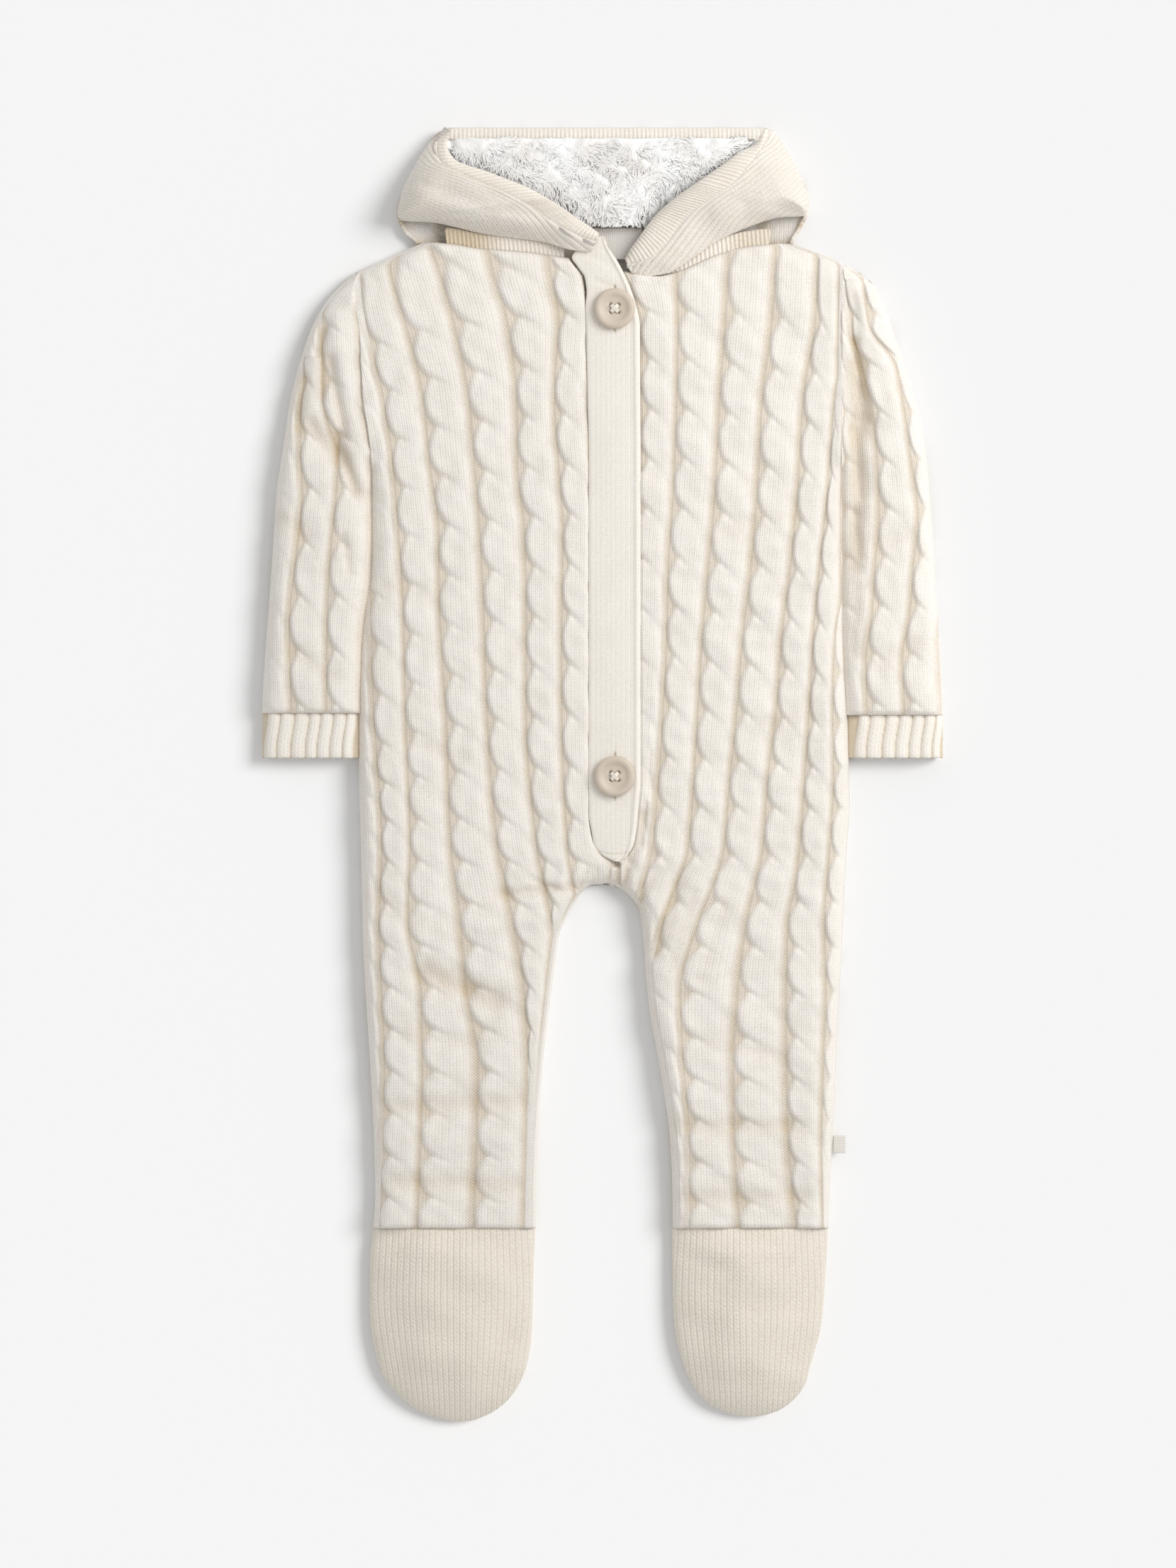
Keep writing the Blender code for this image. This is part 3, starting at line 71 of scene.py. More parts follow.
# %% Sizes in millimetres
MM = 0.001
SIDES, SIGN = ("right", "left"), {"right": -1, "left": 1}
SEW = 0.3  # gap between sewn pieces
BACK = 4.2  # back wall, pressed flat
CABLE = 2.4  # height of a rope cable over the wall
ROLL = 12.0  # width over which a side rounds down to its seam
UNDER_ROLL = 6.0  # the same on the underside
SEAM = 4.35  # level of the side seams
SILL = 4.5  # lowest point of what lies on the back
TOP = 11.2  # level of the fronts between their cables
ARMHOLE, NECK_EDGE, PLACKET_EDGE = 10.5, 10.0, 11.1  # the same at other edges
LAP = 9.4  # top of the button band that the placket covers
ANKLE, ARMPIT, CROTCH = -223.1, 150.0, -53.0
PLACKET_FOOT, NAPE, HOOD_TOP = -42.9, 262.3, 320.4
ROPE_SHARE = 0.83  # the rope takes this share of its column, a purl channel the rest
LEAST_COLUMN, SQUEEZE = 17.0, 1.2  # a cut-off column counts as this wide; least gap of lines
CHAIN = 2.9  # width of a chain of stitches on the hood's sides
VALLEY = 1.5  # how far a pressed cloth lifts off the table beside its ropes
RIB_PITCH = 2.1  # the real fine ribs are about 1.6 mm apart; a little coarser, they show
WALE, COURSE = 3.0, 2.15  # width and height of one knitted stitch, counted on the feet
ROPE_WALE, ROPE_COURSE = 2.1, 1.45  # the same on the ropes, which are knitted tighter
print("stitch", WALE, "x", COURSE, "mm; cable", CABLE, "mm high")

# %% [markdown]
# ## Smooth curves through tables
# A pattern maker draws a curve through a few measured points. `through` does the same: cubic
# pieces that never overshoot a measured point. The tables below hold the garment's outlines
# and the left edge of every cable, measured row by row.

# %% Curves
def through(knots, values, at):
    """A smooth curve through a table: cubic pieces whose slopes never overshoot a row."""
    knots, values = np.asarray(knots, float), np.asarray(values, float)
    at = np.asarray(at, float)
    step = np.diff(knots)
    slope = np.diff(values) / step
    tangent = np.concatenate(([slope[0]], np.zeros(len(step) - 1), [slope[-1]]))
    product = slope[:-1] * slope[1:]
    total = slope[:-1] + slope[1:]
    tangent[1:-1] = np.where(product > 0, 2 * product / np.where(total == 0, 1, total), 0)
    i = np.clip(np.searchsorted(knots, at) - 1, 0, len(step) - 1)
    s = np.clip((at - knots[i]) / step[i], 0, 1)
    start = values[i] * (1 + 2 * s) * (1 - s) ** 2 + step[i] * tangent[i] * s * (1 - s) ** 2
    end = values[i + 1] * s**2 * (3 - 2 * s) - step[i] * tangent[i + 1] * s**2 * (1 - s)
    return start + end


def column(table, index):
    """One column of a table whose rows run down the garment, as a function of y."""
    rows = sorted(table)
    return lambda y: through([r[0] for r in rows], [r[index] for r in rows], y)


def ease(s):
    """0 to 1 with a level start and end."""
    s = np.clip(s, 0, 1)
    return s * s * (3 - 2 * s)


def quarter(s):
    """0 to 1 along a quarter of a circle, upright at 0 and level at 1."""
    return np.sqrt(1 - (1 - np.clip(s, 0, 1)) ** 2)


def distance(x, y, line):
    """Distance of every point of a grid from a line of points."""
    line = np.asarray(line, float)
    point = np.stack([x, y], -1)[..., None, :]
    start, run = line[:-1], np.diff(line, axis=0)
    along = ((point - start) * run).sum(-1) / np.maximum((run * run).sum(-1), 1e-9)
    nearest = start + np.clip(along, 0, 1)[..., None] * run
    return np.sqrt(((point - nearest) ** 2).sum(-1).min(-1))


def line_of(edge, high, low, count=60):
    """Points along an outline x = edge(y) between two heights."""
    y = np.linspace(high, low, count)
    return np.stack([edge(y), y], -1)


def lowered(x, y, top, edges):
    """Height of cloth at a level top that rounds down to each edge: (line, level, width)."""
    z = np.full(np.shape(x), float(top))
    for line, level, width in edges:
        z = np.minimum(z, level + (top - level) * quarter(distance(x, y, line) / width))
    return z


def folds(x, y, table):
    """Soft troughs along short lines, deepest in the middle."""
    z = np.zeros(np.shape(x))
    for x0, y0, x1, y1, width, depth in table:
        away = distance(x, y, [(x0, y0), (x1, y1)])
        z -= depth * np.exp(-((away / width) ** 2))
    return z


def crowded(count):
    """Shares from 0 to 1 that lie closer together at both ends."""
    return 0.5 - 0.5 * np.cos(math.pi * np.linspace(0, 1, count))


def spread(a, b, y, share):
    """A grid whose rows run from x = a to x = b at height y: x and y of every point."""
    x = a[:, None] + (b - a)[:, None] * share
    return x, np.repeat(y[:, None], x.shape[1], 1)


def lifted(x, y, lines):
    """0 on the underside, 1 on each line where it rounds up to a seam."""
    lift = np.zeros(x.shape)
    for line in lines:
        lift = np.maximum(lift, 1 - quarter(distance(x, y, line) / UNDER_ROLL))
    return lift


print("curve helpers ready")

# %% [markdown]
# ## The garment's tables
# Outlines run from the shoulder down. The wearer's right is at -X.

# %% Outlines, cables, hood, placket, buttons and folds
# Side outlines, from the shoulder down: y, x. The first rows are the shoulder seam.
SIDE = {"right": (
    (264.1, -87.5), (256.4, -105), (252.3, -113.4), (248.3, -121.5), (237.8, -123.6), (221, -120.9),
    (197.6, -119.8), (186, -119), (168.5, -116.5), (151, -114.8), (116, -114.6),
    (98.5, -115), (85.6, -117.2), (62.8, -119.7), (33.1, -120.4), (1.6, -120.4),
    (-40.4, -119.3), (-82.4, -118.4), (-110.4, -116.9), (-138.4, -115.1), (-180.4, -112.9),
    (-208.4, -112.3), (-224, -113.4),
), "left": (
    (263.4, 91.7), (257.8, 108.5), (255.2, 114), (252.6, 119.4), (240, 119.2), (219.3, 118.8),
    (173.1, 119), (138.1, 119), (69.1, 119.5), (33.1, 121.1), (1.6, 121.8),
    (-12.4, 122.1), (-40.4, 120.4), (-68.4, 119), (-96.4, 117.6), (-124.4, 115.8),
    (-152.4, 114.8), (-180.4, 113.4), (-208.4, 112.3), (-224, 111.6),
)}
# Inner outlines: placket edge, round its foot, centre seam, crotch and inner leg: y, x.
INNER = {"right": (
    (270, -18.2), (255.4, -16.4), (245.5, -9.8), (232.6, -8.2), (187.1, -6.9),
    (160, -6.3), (-19.4, -6.3), (-33.4, -4), (-39.7, 2.4), (-42.9, 6.3), (-52.4, 6),
    (-53.4, 0), (-53.9, -5.6), (-56.9, -9.8), (-61.5, -13.2), (-69.1, -17.5),
    (-78.9, -21.5), (-92.9, -23.6), (-113.9, -26.2), (-141.9, -29.4), (-180.4, -32.2),
    (-208.4, -33), (-224, -33),
), "left": (
    (270, -5.3), (-19.4, -5.3), (-33.4, -2.8), (-39.7, 0.8), (-42.9, 3.2), (-52.6, 2.8),
    (-53.8, 5), (-54.8, 7.3), (-57.9, 11.9), (-62.1, 15.7), (-66.3, 18.2), (-82.4, 20.3), (-96.4, 21.3),
    (-113.9, 22.9), (-138.4, 27.3), (-152.4, 29.7), (-180.4, 33.4), (-208.4, 34.5),
    (-224, 34.6),
)}
# Neck seams of the fronts: x, y.
NECK = {"right": (
    (-90, 263.6), (-72.5, 262), (-61, 260), (-39.2, 258.4), (-15, 255.2),
), "left": (
    (-6, 251), (17.8, 247.8), (28, 246.6), (40.6, 250), (52.5, 255.3), (70, 260.6),
    (92, 263),
)}
# Left edge of every cable on the fronts: y, then one x for each cable. An x beyond the
# outline says that the cable has run off the cloth there.
CABLES = {"right": (
    (262.3, -130, -126, -105, -85.4, -56, -26.2),
    (250.1, -130, -120.7, -104.3, -80.5, -54.2, -25.5),
    (225.6, -130, -117, -97.5, -73.5, -46.9, -21.3),
    (187.1, -130, -108.1, -88.2, -65.8, -42, -23.4),
    (152.1, -126, -102.9, -84.7, -62.6, -41.6, -21.3),
    (120.6, -120, -100.4, -80.5, -60.2, -38.1, -19.2),
    (85.6, -114.8, -98, -80.2, -58.4, -37.4, -19.9),
    (33.1, -112.7, -96.9, -77, -56.7, -37.4, -19.9),
    (-36.9, -108.5, -94.5, -74.2, -51.1, -31.8, -16.8),
    (-54.4, -109.2, -95.2, -71.8, -47.2, -28, -14),
    (-71.9, -109.9, -95.5, -69.6, -43.8, -24.8, -8),
    (-106.9, -108.8, -89.2, -66.5, -38.1, -20, -2),
    (-141.9, -107.4, -88.5, -60.9, -36.4, -20, -2),
    (-223.1, -109.9, -91, -63, -38, -20, -2),
), "left": (
    (262.3, 36.8, 63, 86.1, 106.8, 125, 131),
    (225.6, 37.4, 60.9, 84, 105.3, 122, 131),
    (187.1, 36.8, 58.1, 79.1, 99.4, 115, 131),
    (138.1, 35, 55.6, 76.3, 96.2, 110.9, 128),
    (103.1, 32.6, 52.5, 73.5, 92.8, 107.1, 122),
    (68.1, 31.8, 49.4, 69.3, 88.5, 104, 115),
    (33.1, 30.1, 47.3, 66.5, 86, 102.2, 113.6),
    (-1.9, 27.7, 45.2, 63, 81.6, 99.8, 114),
    (-36.9, 24.5, 42.4, 59.9, 79.1, 97.3, 112),
    (-54.4, 20, 36.4, 54.6, 75.3, 94.9, 110.6),
    (-71.9, 14, 30.1, 47.6, 71.4, 91.7, 109.6),
    (-106.9, 10, 22, 38.5, 67, 90.8, 110.4),
    (-141.9, 10, 20, 39.9, 64.8, 91, 109.2),
    (-176.9, 10, 20, 42.7, 65.1, 91.7, 108.4),
    (-223.1, 10, 20, 42.7, 68, 96, 109.2),
)}
SLEEVE_CABLES = {"right": (
    (250, -149, -140), (218, -147, -138), (186, -148, -137.5),
    (173, -149, -134.8), (159, -148.6, -130), (138.8, -147.7, -130.9),
    (106.9, -150.9, -134), (74.6, -154, -135.4), (30, -153, -135.8),
), "left": (
    (253, 118, 128), (222, 122.5, 131.6), (202, 128.1, 145.5),
    (180.4, 133, 149), (155, 135.5, 152.3), (128, 136.5, 155.8),
    (103, 134.5, 153.3), (80, 133, 151.6), (56.5, 129.9, 148), (30, 130.6, 149.1),
)}
# Crossings of the ropes: y of the first one, then (how many, their pitch) downwards.
CROSSINGS = {
    "right": (249, ((12, 24.7), (99, 20.7))),
    "left": (253.2, ((13, 24.5), (4, 22.4), (99, 20.3))),
}
SLEEVE_CROSSINGS = {"right": (246.6, ((99, 26.6),)), "left": (249.8, ((99, 23.9),))}
# How far below its row a crossing lies on the torso: x, drop.
DROP = {
    "right": ((-121, 15), (-103, 11), (-85, 5), (-63, 2), (-20, -2)),
    "left": ((10, 1.5), (32, 0), (55, 2.5), (76, 4), (96, 6.5), (111, 8)),
}
SLEEVE_DROP = ((-170, 0), (170, 0))  # none on the sleeves

# Sleeve silhouettes from the shoulder to the cuff: y, x.
SLEEVE = {"right": (
    (247.6, -123.2), (241.3, -130.5), (235.4, -135.8), (222.1, -143.5), (211.6, -147.3),
    (197.6, -151.5), (183.6, -154.7), (169.6, -156.8), (155.6, -158.9), (141.6, -161),
    (120.6, -162.4), (85.6, -164.8), (57.6, -166.9), (30, -168.2), (8, -168.2),
), "left": (
    (252.6, 119.8), (246.6, 129.2), (242.4, 134), (229.1, 140.3), (211.6, 146.3),
    (197.6, 150.8), (183.6, 155), (169.6, 158.2), (155.6, 160.3), (141.6, 161.4),
    (120.6, 163), (99.6, 164.2), (75.1, 165.9), (50.6, 167.4), (30, 168.2), (8, 168.2),
)}
CUFF_TOP = {"right": 31, "left": 30.0}
CUFF_END = 8.8  # y of the lower end of both cuffs
CUFF_HEIGHT = 9.6  # level of their ribs

# Foot outlines: y, left x, right x.
FOOT = {"right": (
    (-223.5, -113.2, -33.1), (-240, -114.8, -34), (-258, -115.1, -34.4),
    (-272, -114.4, -34.8), (-282, -112.8, -35.6), (-292.4, -110, -37.8),
    (-299.4, -106.4, -40.6), (-306.4, -100.6, -45), (-311.7, -93.4, -50.4),
    (-315.6, -86, -56.6), (-318.2, -78, -63),
), "left": (
    (-223.5, 34.4, 111.4), (-240, 34.6, 110.6), (-258, 34.8, 109.4),
    (-272, 35.7, 108), (-282, 37.4, 105.4), (-292.4, 40.6, 102.4),
    (-299.4, 43.6, 100.6), (-305.5, 47.8, 97), (-310.4, 53, 92),
    (-313.8, 59.4, 86.6), (-315.8, 66, 80.6),
)}

# The placket: y, left x, right x, from the neck to its rounded foot.
PLACKET = (
    (265.6, -2.6, -0.4), (262, -8, 1.6), (258.6, -13.2, 4), (255.4, -15.2, 6.2),
    (250.5, -12.2, 9), (245.5, -8.9, 11.4), (239, -7.9, 14.2), (232.6, -7.3, 16.2),
    (222, -6.9, 18.4), (187.1, -6.2, 18.6), (160, -5.6, 18.8), (0, -5.6, 18.8),
    (-19.4, -5.5, 17.4), (-27, -4.3, 16.6), (-33.4, -3.1, 15.4), (-39.7, 1.5, 11.8),
    (-42.2, 5.6, 8.4),
)
PLACKET_WALL, PLACKET_CROWN = 3.5, 0.5  # its thickness at the edges, its rise in the middle
PLACKET_SILL = LAP + SEW  # level of its underside

# The hood's sides, from the top corner to the end by the placket: x and y on the opening,
# x and y on the outer edge, height of the roll, width of the rib, lowest level of the roll.
HOOD = {"right": (
    (-73.4, 319.4, -78.6, 319.2, 10.5, 3, SILL), (-77, 311.4, -86.4, 311.6, 14.5, 4.5, SILL),
    (-72.5, 303.3, -93.1, 300.8, 18.5, 7.5, SILL), (-55, 296.3, -99.4, 287.9, 21.5, 11.5, SILL),
    (-36, 288.6, -101.4, 278.1, 22.5, 13, SILL), (-27.7, 284, -99.4, 274.4, 22.5, 13, 5.5),
    (-22.5, 281, -81.9, 272.4, 22, 12.5, 10.4), (-17.5, 277.7, -58, 267, 21.5, 12, 10.4),
    (-12.3, 273.9, -29.7, 263, 21.5, 9, 11.6), (-6.3, 270, -15, 258.6, 21.5, 7, 15),
    (-1.6, 266.6, -5.6, 257.6, 20.8, 4.6, 15),
), "left": (
    (79.6, 319.4, 85.2, 318.6, 10.5, 3, SILL), (74.9, 311.3, 89.6, 311.8, 14, 5, SILL),
    (67.9, 307.5, 94.2, 303.2, 17, 8.5, SILL), (60.9, 301.9, 98.7, 294.4, 20, 11, SILL),
    (53.6, 296.6, 102, 283, 21.5, 13, SILL), (46.6, 291.7, 100.2, 276.8, 21.5, 14, 5.5),
    (39.2, 286.8, 85.8, 274.9, 21, 14, 10.4), (32.2, 281.6, 71.8, 270.4, 19.5, 13.5, 10.4),
    (27, 277, 57, 263.6, 18, 13, 10.4), (21.6, 270.6, 43, 254, 17.2, 13, 11.2),
    (17.6, 265, 31.6, 247.4, 16.6, 12, 11.4), (13.6, 259.6, 21.4, 246.2, 15.6, 8, 11.4),
    (10.8, 254.6, 14, 247.8, 14.4, 3, 11.2),
)}
HOOD_ROLL = 16.0
HOOD_CORNER = 5  # rows of the hood tables above this one reach the hood's own silhouette
HOOD_BACK = (
    (262.6, -92, 94), (264.6, -93.6, 94.6), (268, -97.8, 96.8), (273, -100.4, 99.4),
    (279, -101.6, 102.2), (286, -100.2, 102), (294.4, -96.4, 98.7),
    (303.2, -91.6, 94.2), (311.8, -86.2, 89.6), (317.6, -81.4, 85.8), (320.4, -77.4, 80.4),
)
# The fleece lining: y, left x, right x.
LINING = (
    (271.2, -6, 20), (276, -15.5, 27), (281, -24.5, 32.5), (286, -34, 39.5),
    (291, -45, 47), (296, -57, 54), (301, -67.5, 60), (306, -72.4, 65),
    (310, -74, 70.5), (313.2, -74.6, 73),
)
PILE = 13.2  # height of the fleece's fur
LINING_EDGE = 6.5
RIB_TOP = (313.6, HOOD_TOP, 9.4)  # lower y, upper y and height of the rib across the top
NECK_RIB = 9.0  # height of the rib neck, up from the neck seam
NECK_RIB_TOP = 9.8
TAPE = (-5, 19.5, 255, 270.6, 1.5)  # x, x, y, y and thickness

# Buttons and label.
BUTTON_RADIUS, BUTTON_HOLE = 10.0, 1.1  # radius of a button and of its holes
BUTTON_HOLE_REACH = 2.2  # from the middle of the button to the middle of a hole
BUTTONS = {"button_top": (5.9, 229.8), "button_bottom": (5.9, -0.2)}
LABEL = (6.2, 8.8)  # width, height
LABEL_Y = -182.0  # its middle

# Folds and creases: x, y to x, y, then width and depth. A negative depth is a ridge.
FOLDS = {"right": (
    (-50.8, -58.6, -12, -54.5, 3, 1.6), (-87.5, -96.4, -52.5, -111, 6, 2.2),
    (-101, -163, -42, -161, 5, 1.3), (-101, -200, -45, -202, 5, 1.4),
    (-36, -50, -20, -57, 1.6, 0.8), (-8, -47, -14, -61, 1.3, 0.9),
    (-3, -46, -5, -54, 1.1, 0.8), (-17, -36, -21, -56, 2, -0.6),
    (-60, -75, -26, -70, 3.5, -0.7), (-95, -128, -60, -132, 5, 0.7),
    (-70, -182, -40, -178, 4, -0.6), (-108, 95, -84, 88, 5, 0.6),
    (-100, 20, -70, 8, 6, 0.6), (-112, -60, -92, -72, 5, 0.7),
    (-30, 236, -16, 226, 3, 0.5),
), "left": (
    (19.3, -19.4, 10.5, -52, 3, 1.6), (26.3, -47.4, 16, -68.4, 3, 1.4),
    (38.5, -50.9, 26.3, -86, 4, 1.3), (38.5, -173, 94.5, -173, 5, 1.3),
    (40, -208, 98, -207, 5, 1.2),
    (21.5, -14, 19, -34, 1.4, 1.2), (12, -47, 10, -54, 1.2, 0.9),
    (6.5, -44, 6, -52, 1, 0.7), (30, -35, 22, -62, 2.2, -0.7),
    (46, -58, 34, -96, 3, 0.9), (60, -62, 48, -100, 3.5, 0.6),
    (24, 12, 22.5, -6, 1.4, 0.7), (50, -130, 90, -140, 5, 0.6),
    (60, 120, 92, 128, 6, 0.5), (70, 20, 104, 30, 6, 0.5),
)}
SLEEVE_FOLDS = {"right": (
    (-143.5, 173, -129.5, 155.6, 4, 2.2), (-137.6, 218.6, -139.3, 187, 3, 1.5),
    (-128.8, 159, -118.5, 138, 3.5, 1.6), (-131, 226, -127, 190, 4, -1.4),
    (-134, 205, -127, 168, 2.6, 2.2), (-147, 196, -150, 170, 3, 1.4),
    (-131, 168, -122, 140, 2.6, 2), (-160, 128, -146, 118, 4, 0.9),
    (-128, 118, -124, 100, 2.2, 1.2), (-150, 60, -134, 50, 5, 0.8),
), "left": (
    (122.5, 201, 126.7, 173, 5, 2.6), (126.7, 173, 124.3, 103, 5, 2.8),
    (126, 92, 123.6, 60, 3.5, 1.4),
    (124, 236, 125, 214, 2.5, 0.9), (133, 190, 131, 160, 3, -0.6),
    (124, 214, 129, 176, 2.6, 2.4), (123.5, 170, 128, 138, 2.4, 2.2),
    (124.5, 130, 127, 108, 2.2, 1.4), (150, 120, 136, 112, 4, 0.7),
    (156, 66, 138, 58, 5, 0.8),
)}
FOOT_FOLDS = {
    "right": ((-100, -238, -62, -234, 6, 0.8), (-60, -268, -40, -280, 9, 0.9)),
    "left": ((38, -236, 60, -243, 5, 1), (60, -262, 92, -258, 8, 0.7)),
}
HOOD_FOLDS = {
    "right": ((-88, 290, -60, 281, 3, 0.7), (-46, 277, -24, 271, 2.5, 0.5)),
    "left": ((94, 288, 70, 280, 3.5, 0.7), (52, 274, 40, 262, 3, 0.7)),
}
PLACKET_FOLDS = (
    (-4, 244, 6, 240, 1.6, 0.35), (-6, 256, 4, 251, 2, 0.3),
    (2, -14, 12, -16, 3, 0.2),
)
print("tables ready")

# %% [markdown]
# ## The rope cable
# A cable is knitted as two strands that keep crossing. Each strand starts as a rounded tip under
# the older one, widens to the whole rope, and ends in a hook over the next one. Its left side is
# steep like a quarter of a circle and its right side soft. The cloth follows the highest strand.

# %% Cable height
def left_edge(age):
    """Left side of a strand: an arc like a leaf's edge, then a hook over to the middle."""
    ages = (-0.4, 0.0, 0.13, 0.36, 0.62, 0.82, 0.94, 1.04, 1.16, 1.4, 1.9)
    places = (0.34, 0.19, 0.08, 0.0, 0.035, 0.14, 0.27, 0.42, 0.54, 0.62, 0.75)
    return through(ages, places, age)


def cable(across, along):
    """Height 0 to 1 of the cloth, 1 on top of a rope.

    across runs over one column from its left edge, along counts crossings downwards. A strand
    starts as a rounded tip on the left, under the older one's hook, and widens to the whole
    rope. Its own left side stays steep until it hooks to the middle and fades. The right side
    slopes softly to the purl channel, which lies less than half as high.
    """
    f = across / ROPE_SHARE
    shape = np.broadcast(across, along).shape
    ground = 0.26 + 0.2 * ease((1 / ROPE_SHARE - f) / 0.1) * ease((f - 0.5) / 0.3)
    height = np.broadcast_to(ground, shape)
    for older in (-1, 0, 1):
        age = np.mod(along, 1) + older
        left = left_edge(age)
        full = 0.94 + 0.1 * np.exp(-(((age - 0.8) / 0.28) ** 2))
        meets = left_edge(age + 1) + 0.03 + 0.3 * ease((age - 0.04) / 0.22)
        opened = ease((age - 0.02) / 0.3)
        right = meets + np.maximum(full - meets, 0) * opened
        flank = 0.10 + 0.16 * ease((age - 0.74) / 0.2) + 0.3 * ease((age - 1.12) / 0.2)
        soft = quarter((right - f) / 0.2) * (1 - opened) + ease((right + 0.1 - f) / 0.3) * opened
        crown = ease((age + 0.2) / 0.22) * (0.86 + 0.14 * ease(age / 0.5))
        crown = crown * (1 - 0.97 * ease((age - 1.2) / 0.4))
        height = np.maximum(height, quarter((f - left) / flank) * soft * crown)
    return height


def smooth_cable(across, along, cell):
    """The mean height over each point's own patch, so that oblique edges don't step."""
    total = 0
    for dx in (-0.4, 0, 0.4):
        for dy in (-0.4, 0, 0.4):
            total = total + cable(across + dx * cell[0], along + dy * cell[1])
    return total / 9


def uneven(x, y, size, seed):
    """Soft unevenness, -1 to 1: the mean of six waves about size millimetres long."""
    rng = np.random.default_rng(seed)
    total = 0
    for _ in range(6):
        turn, phase, stretch = rng.uniform(0, 2 * math.pi, 3)
        k = 2 * math.pi / (size * (0.7 + 0.1 * stretch))
        total = total + np.sin(k * (x * math.cos(turn) + y * math.sin(turn)) + phase)
    return total / 3


def crossings(layout):
    """How many crossings lie above y, and the y of a count, for (first y, runs of a pitch)."""
    first, runs = layout
    y, t = [first + runs[0][1]], [-1.0]
    for count, pitch in runs:
        for _ in range(min(count, 40)):
            y.append(y[-1] - pitch)
            t.append(t[-1] + 1)
    return lambda level: np.interp(-np.asarray(level, float), [-v for v in y], t)


# %% [markdown]
# ## From a grid of points to a piece of cloth
# Each piece is a grid of rows and lines, and four neighbours make a face. The inside of the
# cloth is a second grid, `wall` mm under the first along its normals. Nobody looks at it closely,
# so it has every second row and line only. A rim joins the two. The UV map is in millimetres on
# the knitted cloth: U across the wales, V along the courses. Two attributes go with it. The first
# holds painted shade: it is 1 in the valleys between ropes and in other creases, where the
# material mixes in a darker, warmer colour. `purl` is 1 where the wrong side of the stitches shows.

# %% Grid to mesh
def placed(name, data):
    """An object with this data, linked into the scene at the origin."""
    made = bpy.data.objects.new(name, data)
    bpy.context.scene.collection.objects.link(made)
    return made


def quads_of(grid, turned):
    """The faces of a numbered grid, four numbers each. Turned ones look the other way."""
    quads = np.stack([grid[:-1, :-1], grid[1:, :-1], grid[1:, 1:], grid[:-1, 1:]], 2)
    quads = quads.reshape(-1, 4)
    return quads[:, ::-1] if turned else quads


def rim(edge, inner, at, turned):
    """The faces between an edge of the outer grid and the same edge of the inner one."""
    faces = [np.array([*edge[a : b + 1], inner[k + 1], inner[k]])
             for k, (a, b) in enumerate(zip(at, at[1:]))]
    return [face[::-1] for face in faces] if turned else faces


def surface(name, points, stitch, painted_shade=None, purl=None, ring=False, up=True, wall=2.4, weld=False):
    """A smooth mesh over a grid of points (mm), with its stitch map and attributes.

    A ring's last line joins its first. up says that the first faces look upwards. A welded
    piece closes where its points meet, so it gets its wall from the Solidify modifier.
    """
    rows, lines = points.shape[:2]
    outer = np.arange(rows * (lines + ring)).reshape(rows, -1)
    vertex = np.arange(rows * lines).reshape(rows, lines)
    uv = np.asarray(stitch, float)
    if ring:
        vertex = np.concatenate([vertex, vertex[:, :1]], 1)
        uv = np.concatenate([uv, 2 * uv[:, -1:] - uv[:, -2:-1]], 1)
    vertex, uv = vertex.reshape(-1), uv.reshape(-1, 2)
    places = points.reshape(-1, 3) * MM
    marks = [0 if mark is None else mark for mark in (painted_shade, purl)]
    marks = [np.broadcast_to(mark, (rows, lines)).reshape(-1) for mark in marks]
    faces, borders = [quads_of(outer, not up)], []
    mesh = bpy.data.meshes.new(name)
    if wall and not weld:
        mesh.from_pydata(places.tolist(), [], vertex[faces[0]].tolist())
        normals = np.empty(places.size, np.float32)
        mesh.vertex_normals.foreach_get("vector", normals)
        mesh.clear_geometry()
        down, across = (np.unique([*range(0, n, 2), n - 1]) for n in outer.shape)
        source = vertex[outer[np.ix_(down, across)]]
        inner = outer.size + np.arange(source.size).reshape(source.shape)
        own = len(across) - ring
        below = rows * lines + np.arange(len(down) * own).reshape(-1, own)
        if ring:
            below = np.concatenate([below, below[:, :1]], 1)
        faces.append(quads_of(inner, up))
        borders = rim(outer[0], inner[0], across, not up) + rim(outer[-1], inner[-1], across, up)
        if not ring:
            borders += rim(outer[:, 0], inner[:, 0], down, up)
            borders += rim(outer[:, -1], inner[:, -1], down, not up)
        kept = source[:, :own].reshape(-1)
        places = np.concatenate([places, places[kept] - normals.reshape(-1, 3)[kept] * wall * MM])
        marks = [np.concatenate([g, g[kept]]) for g in marks]
        uv = np.concatenate([uv, uv[outer[np.ix_(down, across)].reshape(-1)]])
        vertex = np.concatenate([vertex, below.reshape(-1)])
    corners = [vertex[f].tolist() for f in faces]
    mesh.from_pydata(places.tolist(), [], sum(corners, []) + [vertex[f].tolist() for f in borders])
    layer = mesh.uv_layers.new(name="stitch")
    order = np.concatenate([f.reshape(-1) for f in faces] + borders)
    layer.data.foreach_set("uv", uv[order].reshape(-1).astype(np.float32))
    # The first attribute is painted shade, which the materials mix in as a darker colour; the second
    # marks purl.
    for key, mark in zip(("painted_shade", "purl"), marks):
        mesh.attributes.new(key, "FLOAT", "POINT").data.foreach_set("value", mark.astype(np.float32))
    if weld:
        bm = bmesh.new()
        bm.from_mesh(mesh)
        bmesh.ops.remove_doubles(bm, verts=bm.verts, dist=2e-5)
        bm.to_mesh(mesh)
        bm.free()
    mesh.shade_smooth()
    made = placed(name, mesh)
    if wall and weld:
        cloth = made.modifiers.new("cloth thickness", "SOLIDIFY")
        cloth.thickness, cloth.offset = wall * MM, -1
    return made


def cloth_map(x, y):
    """The plain stitch map: millimetres on the cloth."""
    return np.stack(np.broadcast_arrays(x, y), -1) * MM


